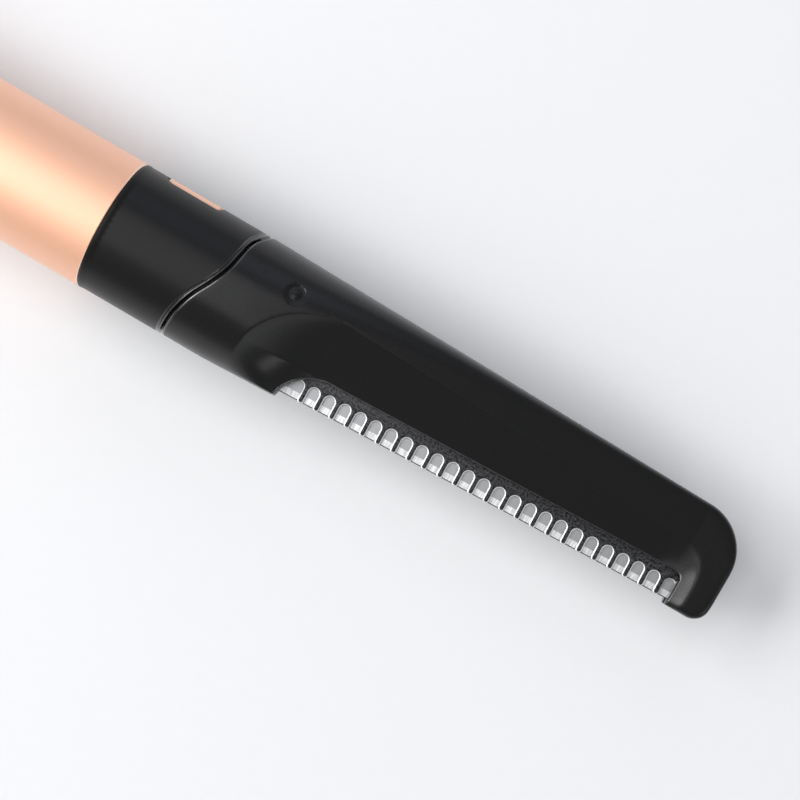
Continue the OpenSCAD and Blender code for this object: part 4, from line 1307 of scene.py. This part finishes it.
capInR = collar["r"] - button["skin"]
cap = buttonPad(0, collar["r"], capInR, button["edgeR"])
buttonPiece = makePiece("button", *cap, "rose_gold_tube", button["sharpFrom"])
rim = buttonPad(button["lip"], button["lipR"], button["lipR"] - button["lip"], 0)
under = makePiece("button_lip", *rim, None)
halfLen, half = button["len"] / 2 + button["lip"] + button["cutOver"], button["flatW"] / 2
cutAway(under, box((button["x"] - halfLen, button["cutLow"], -half),
                   (button["x"] + halfLen, button["stemY"] + button["flatGap"], half)))
low, high, r = button["stemY"], capInR + button["stemIn"], button["stemR"]
stem, faces = lathe([(low, 0), (low, r), (high, r), (high, 0)], button["stemSteps"])
stemPiece = makePiece("button_stem", [(button["x"] + y, x, z) for x, y, z in stem], faces, None)
joinPieces(buttonPiece, under, stemPiece)
finishPiece(buttonPiece, "button", "rose_gold_button", "power_button")
print("button made")


# Floor and light

stage = {
    "floorColour": "#E1E2E4",
    "floorSize": 8,  # metres
    "ambient": 0.42,
    "ambientColour": (0.97, 0.985, 1, 1),
    "distance": 0.7,  # metres from the head's middle to each panel
}
# Soft panels round the razor: the way that each stands (0 past the tip, 90 past the spine) and its
# angle over the floor in degrees, its size across and up in metres, its watts and its colour
panels = {
    "keyPanel": (184, 43, 0.6, 0.3, 3.1, "#FFFFFF"),
    "skyPanel": (180, 78, 0.9, 0.24, 1.25, "#FBFCFF"),
    "spinePanel": (112, 28, 0.45, 0.35, 0.4, "#DCE6FF"),
    "bladePanel": (226, 28, 0.45, 0.3, 0.5, "#FFF0E0"),
    "rampPanel": (208, 38, 0.25, 0.3, 0.9, "#FFFFFF"),
    "tipPanel": (340, 34, 0.4, 0.2, 0.55, "#FFFFFF"),
}

floorMesh = bpy.data.meshes.new("floor")
half = stage["floorSize"] / 2
floorMesh.from_pydata([(-half, -half, 0), (half, -half, 0), (half, half, 0), (-half, half, 0)], [],
                      [(0, 1, 2, 3)])
floor = addObject("floor", floorMesh)
# painted board, rolled matt: pale and even, with a hardly visible tooth
painted, shader = newMaterial("board_painted_matt", stage["floorColour"], Roughness=0.9)
addGrain(painted, shader, size=1.5, height=0.02, tint=0.004)
floorMesh.materials.append(painted)

world = bpy.data.worlds.new("studio")
world.use_nodes = True
background = world.node_tree.nodes["Background"].inputs
background["Color"].default_value = stage["ambientColour"]
background["Strength"].default_value = stage["ambient"]
bpy.context.scene.world = world

aim = toFrame(view["middleX"], 0, 0)
for name, (turn, height, across, up, watts, colour) in panels.items():
    turn, height = radians(turn), radians(height)
    way = Vector((cos(height) * cos(turn), cos(height) * sin(turn), sin(height)))
    lamp = bpy.data.lights.new(name, "AREA")
    lamp.shape = "RECTANGLE"
    lamp.size, lamp.size_y = across, up
    lamp.energy = watts
    lamp.color = linear(colour)[:3]
    light = addObject(name, lamp)
    light.location = aim + way * stage["distance"]
    light.rotation_euler = (-way).to_track_quat("-Z", "Y").to_euler()
    light.visible_camera = False
bpy.context.scene.view_settings.view_transform = "Standard"
print("stage made")
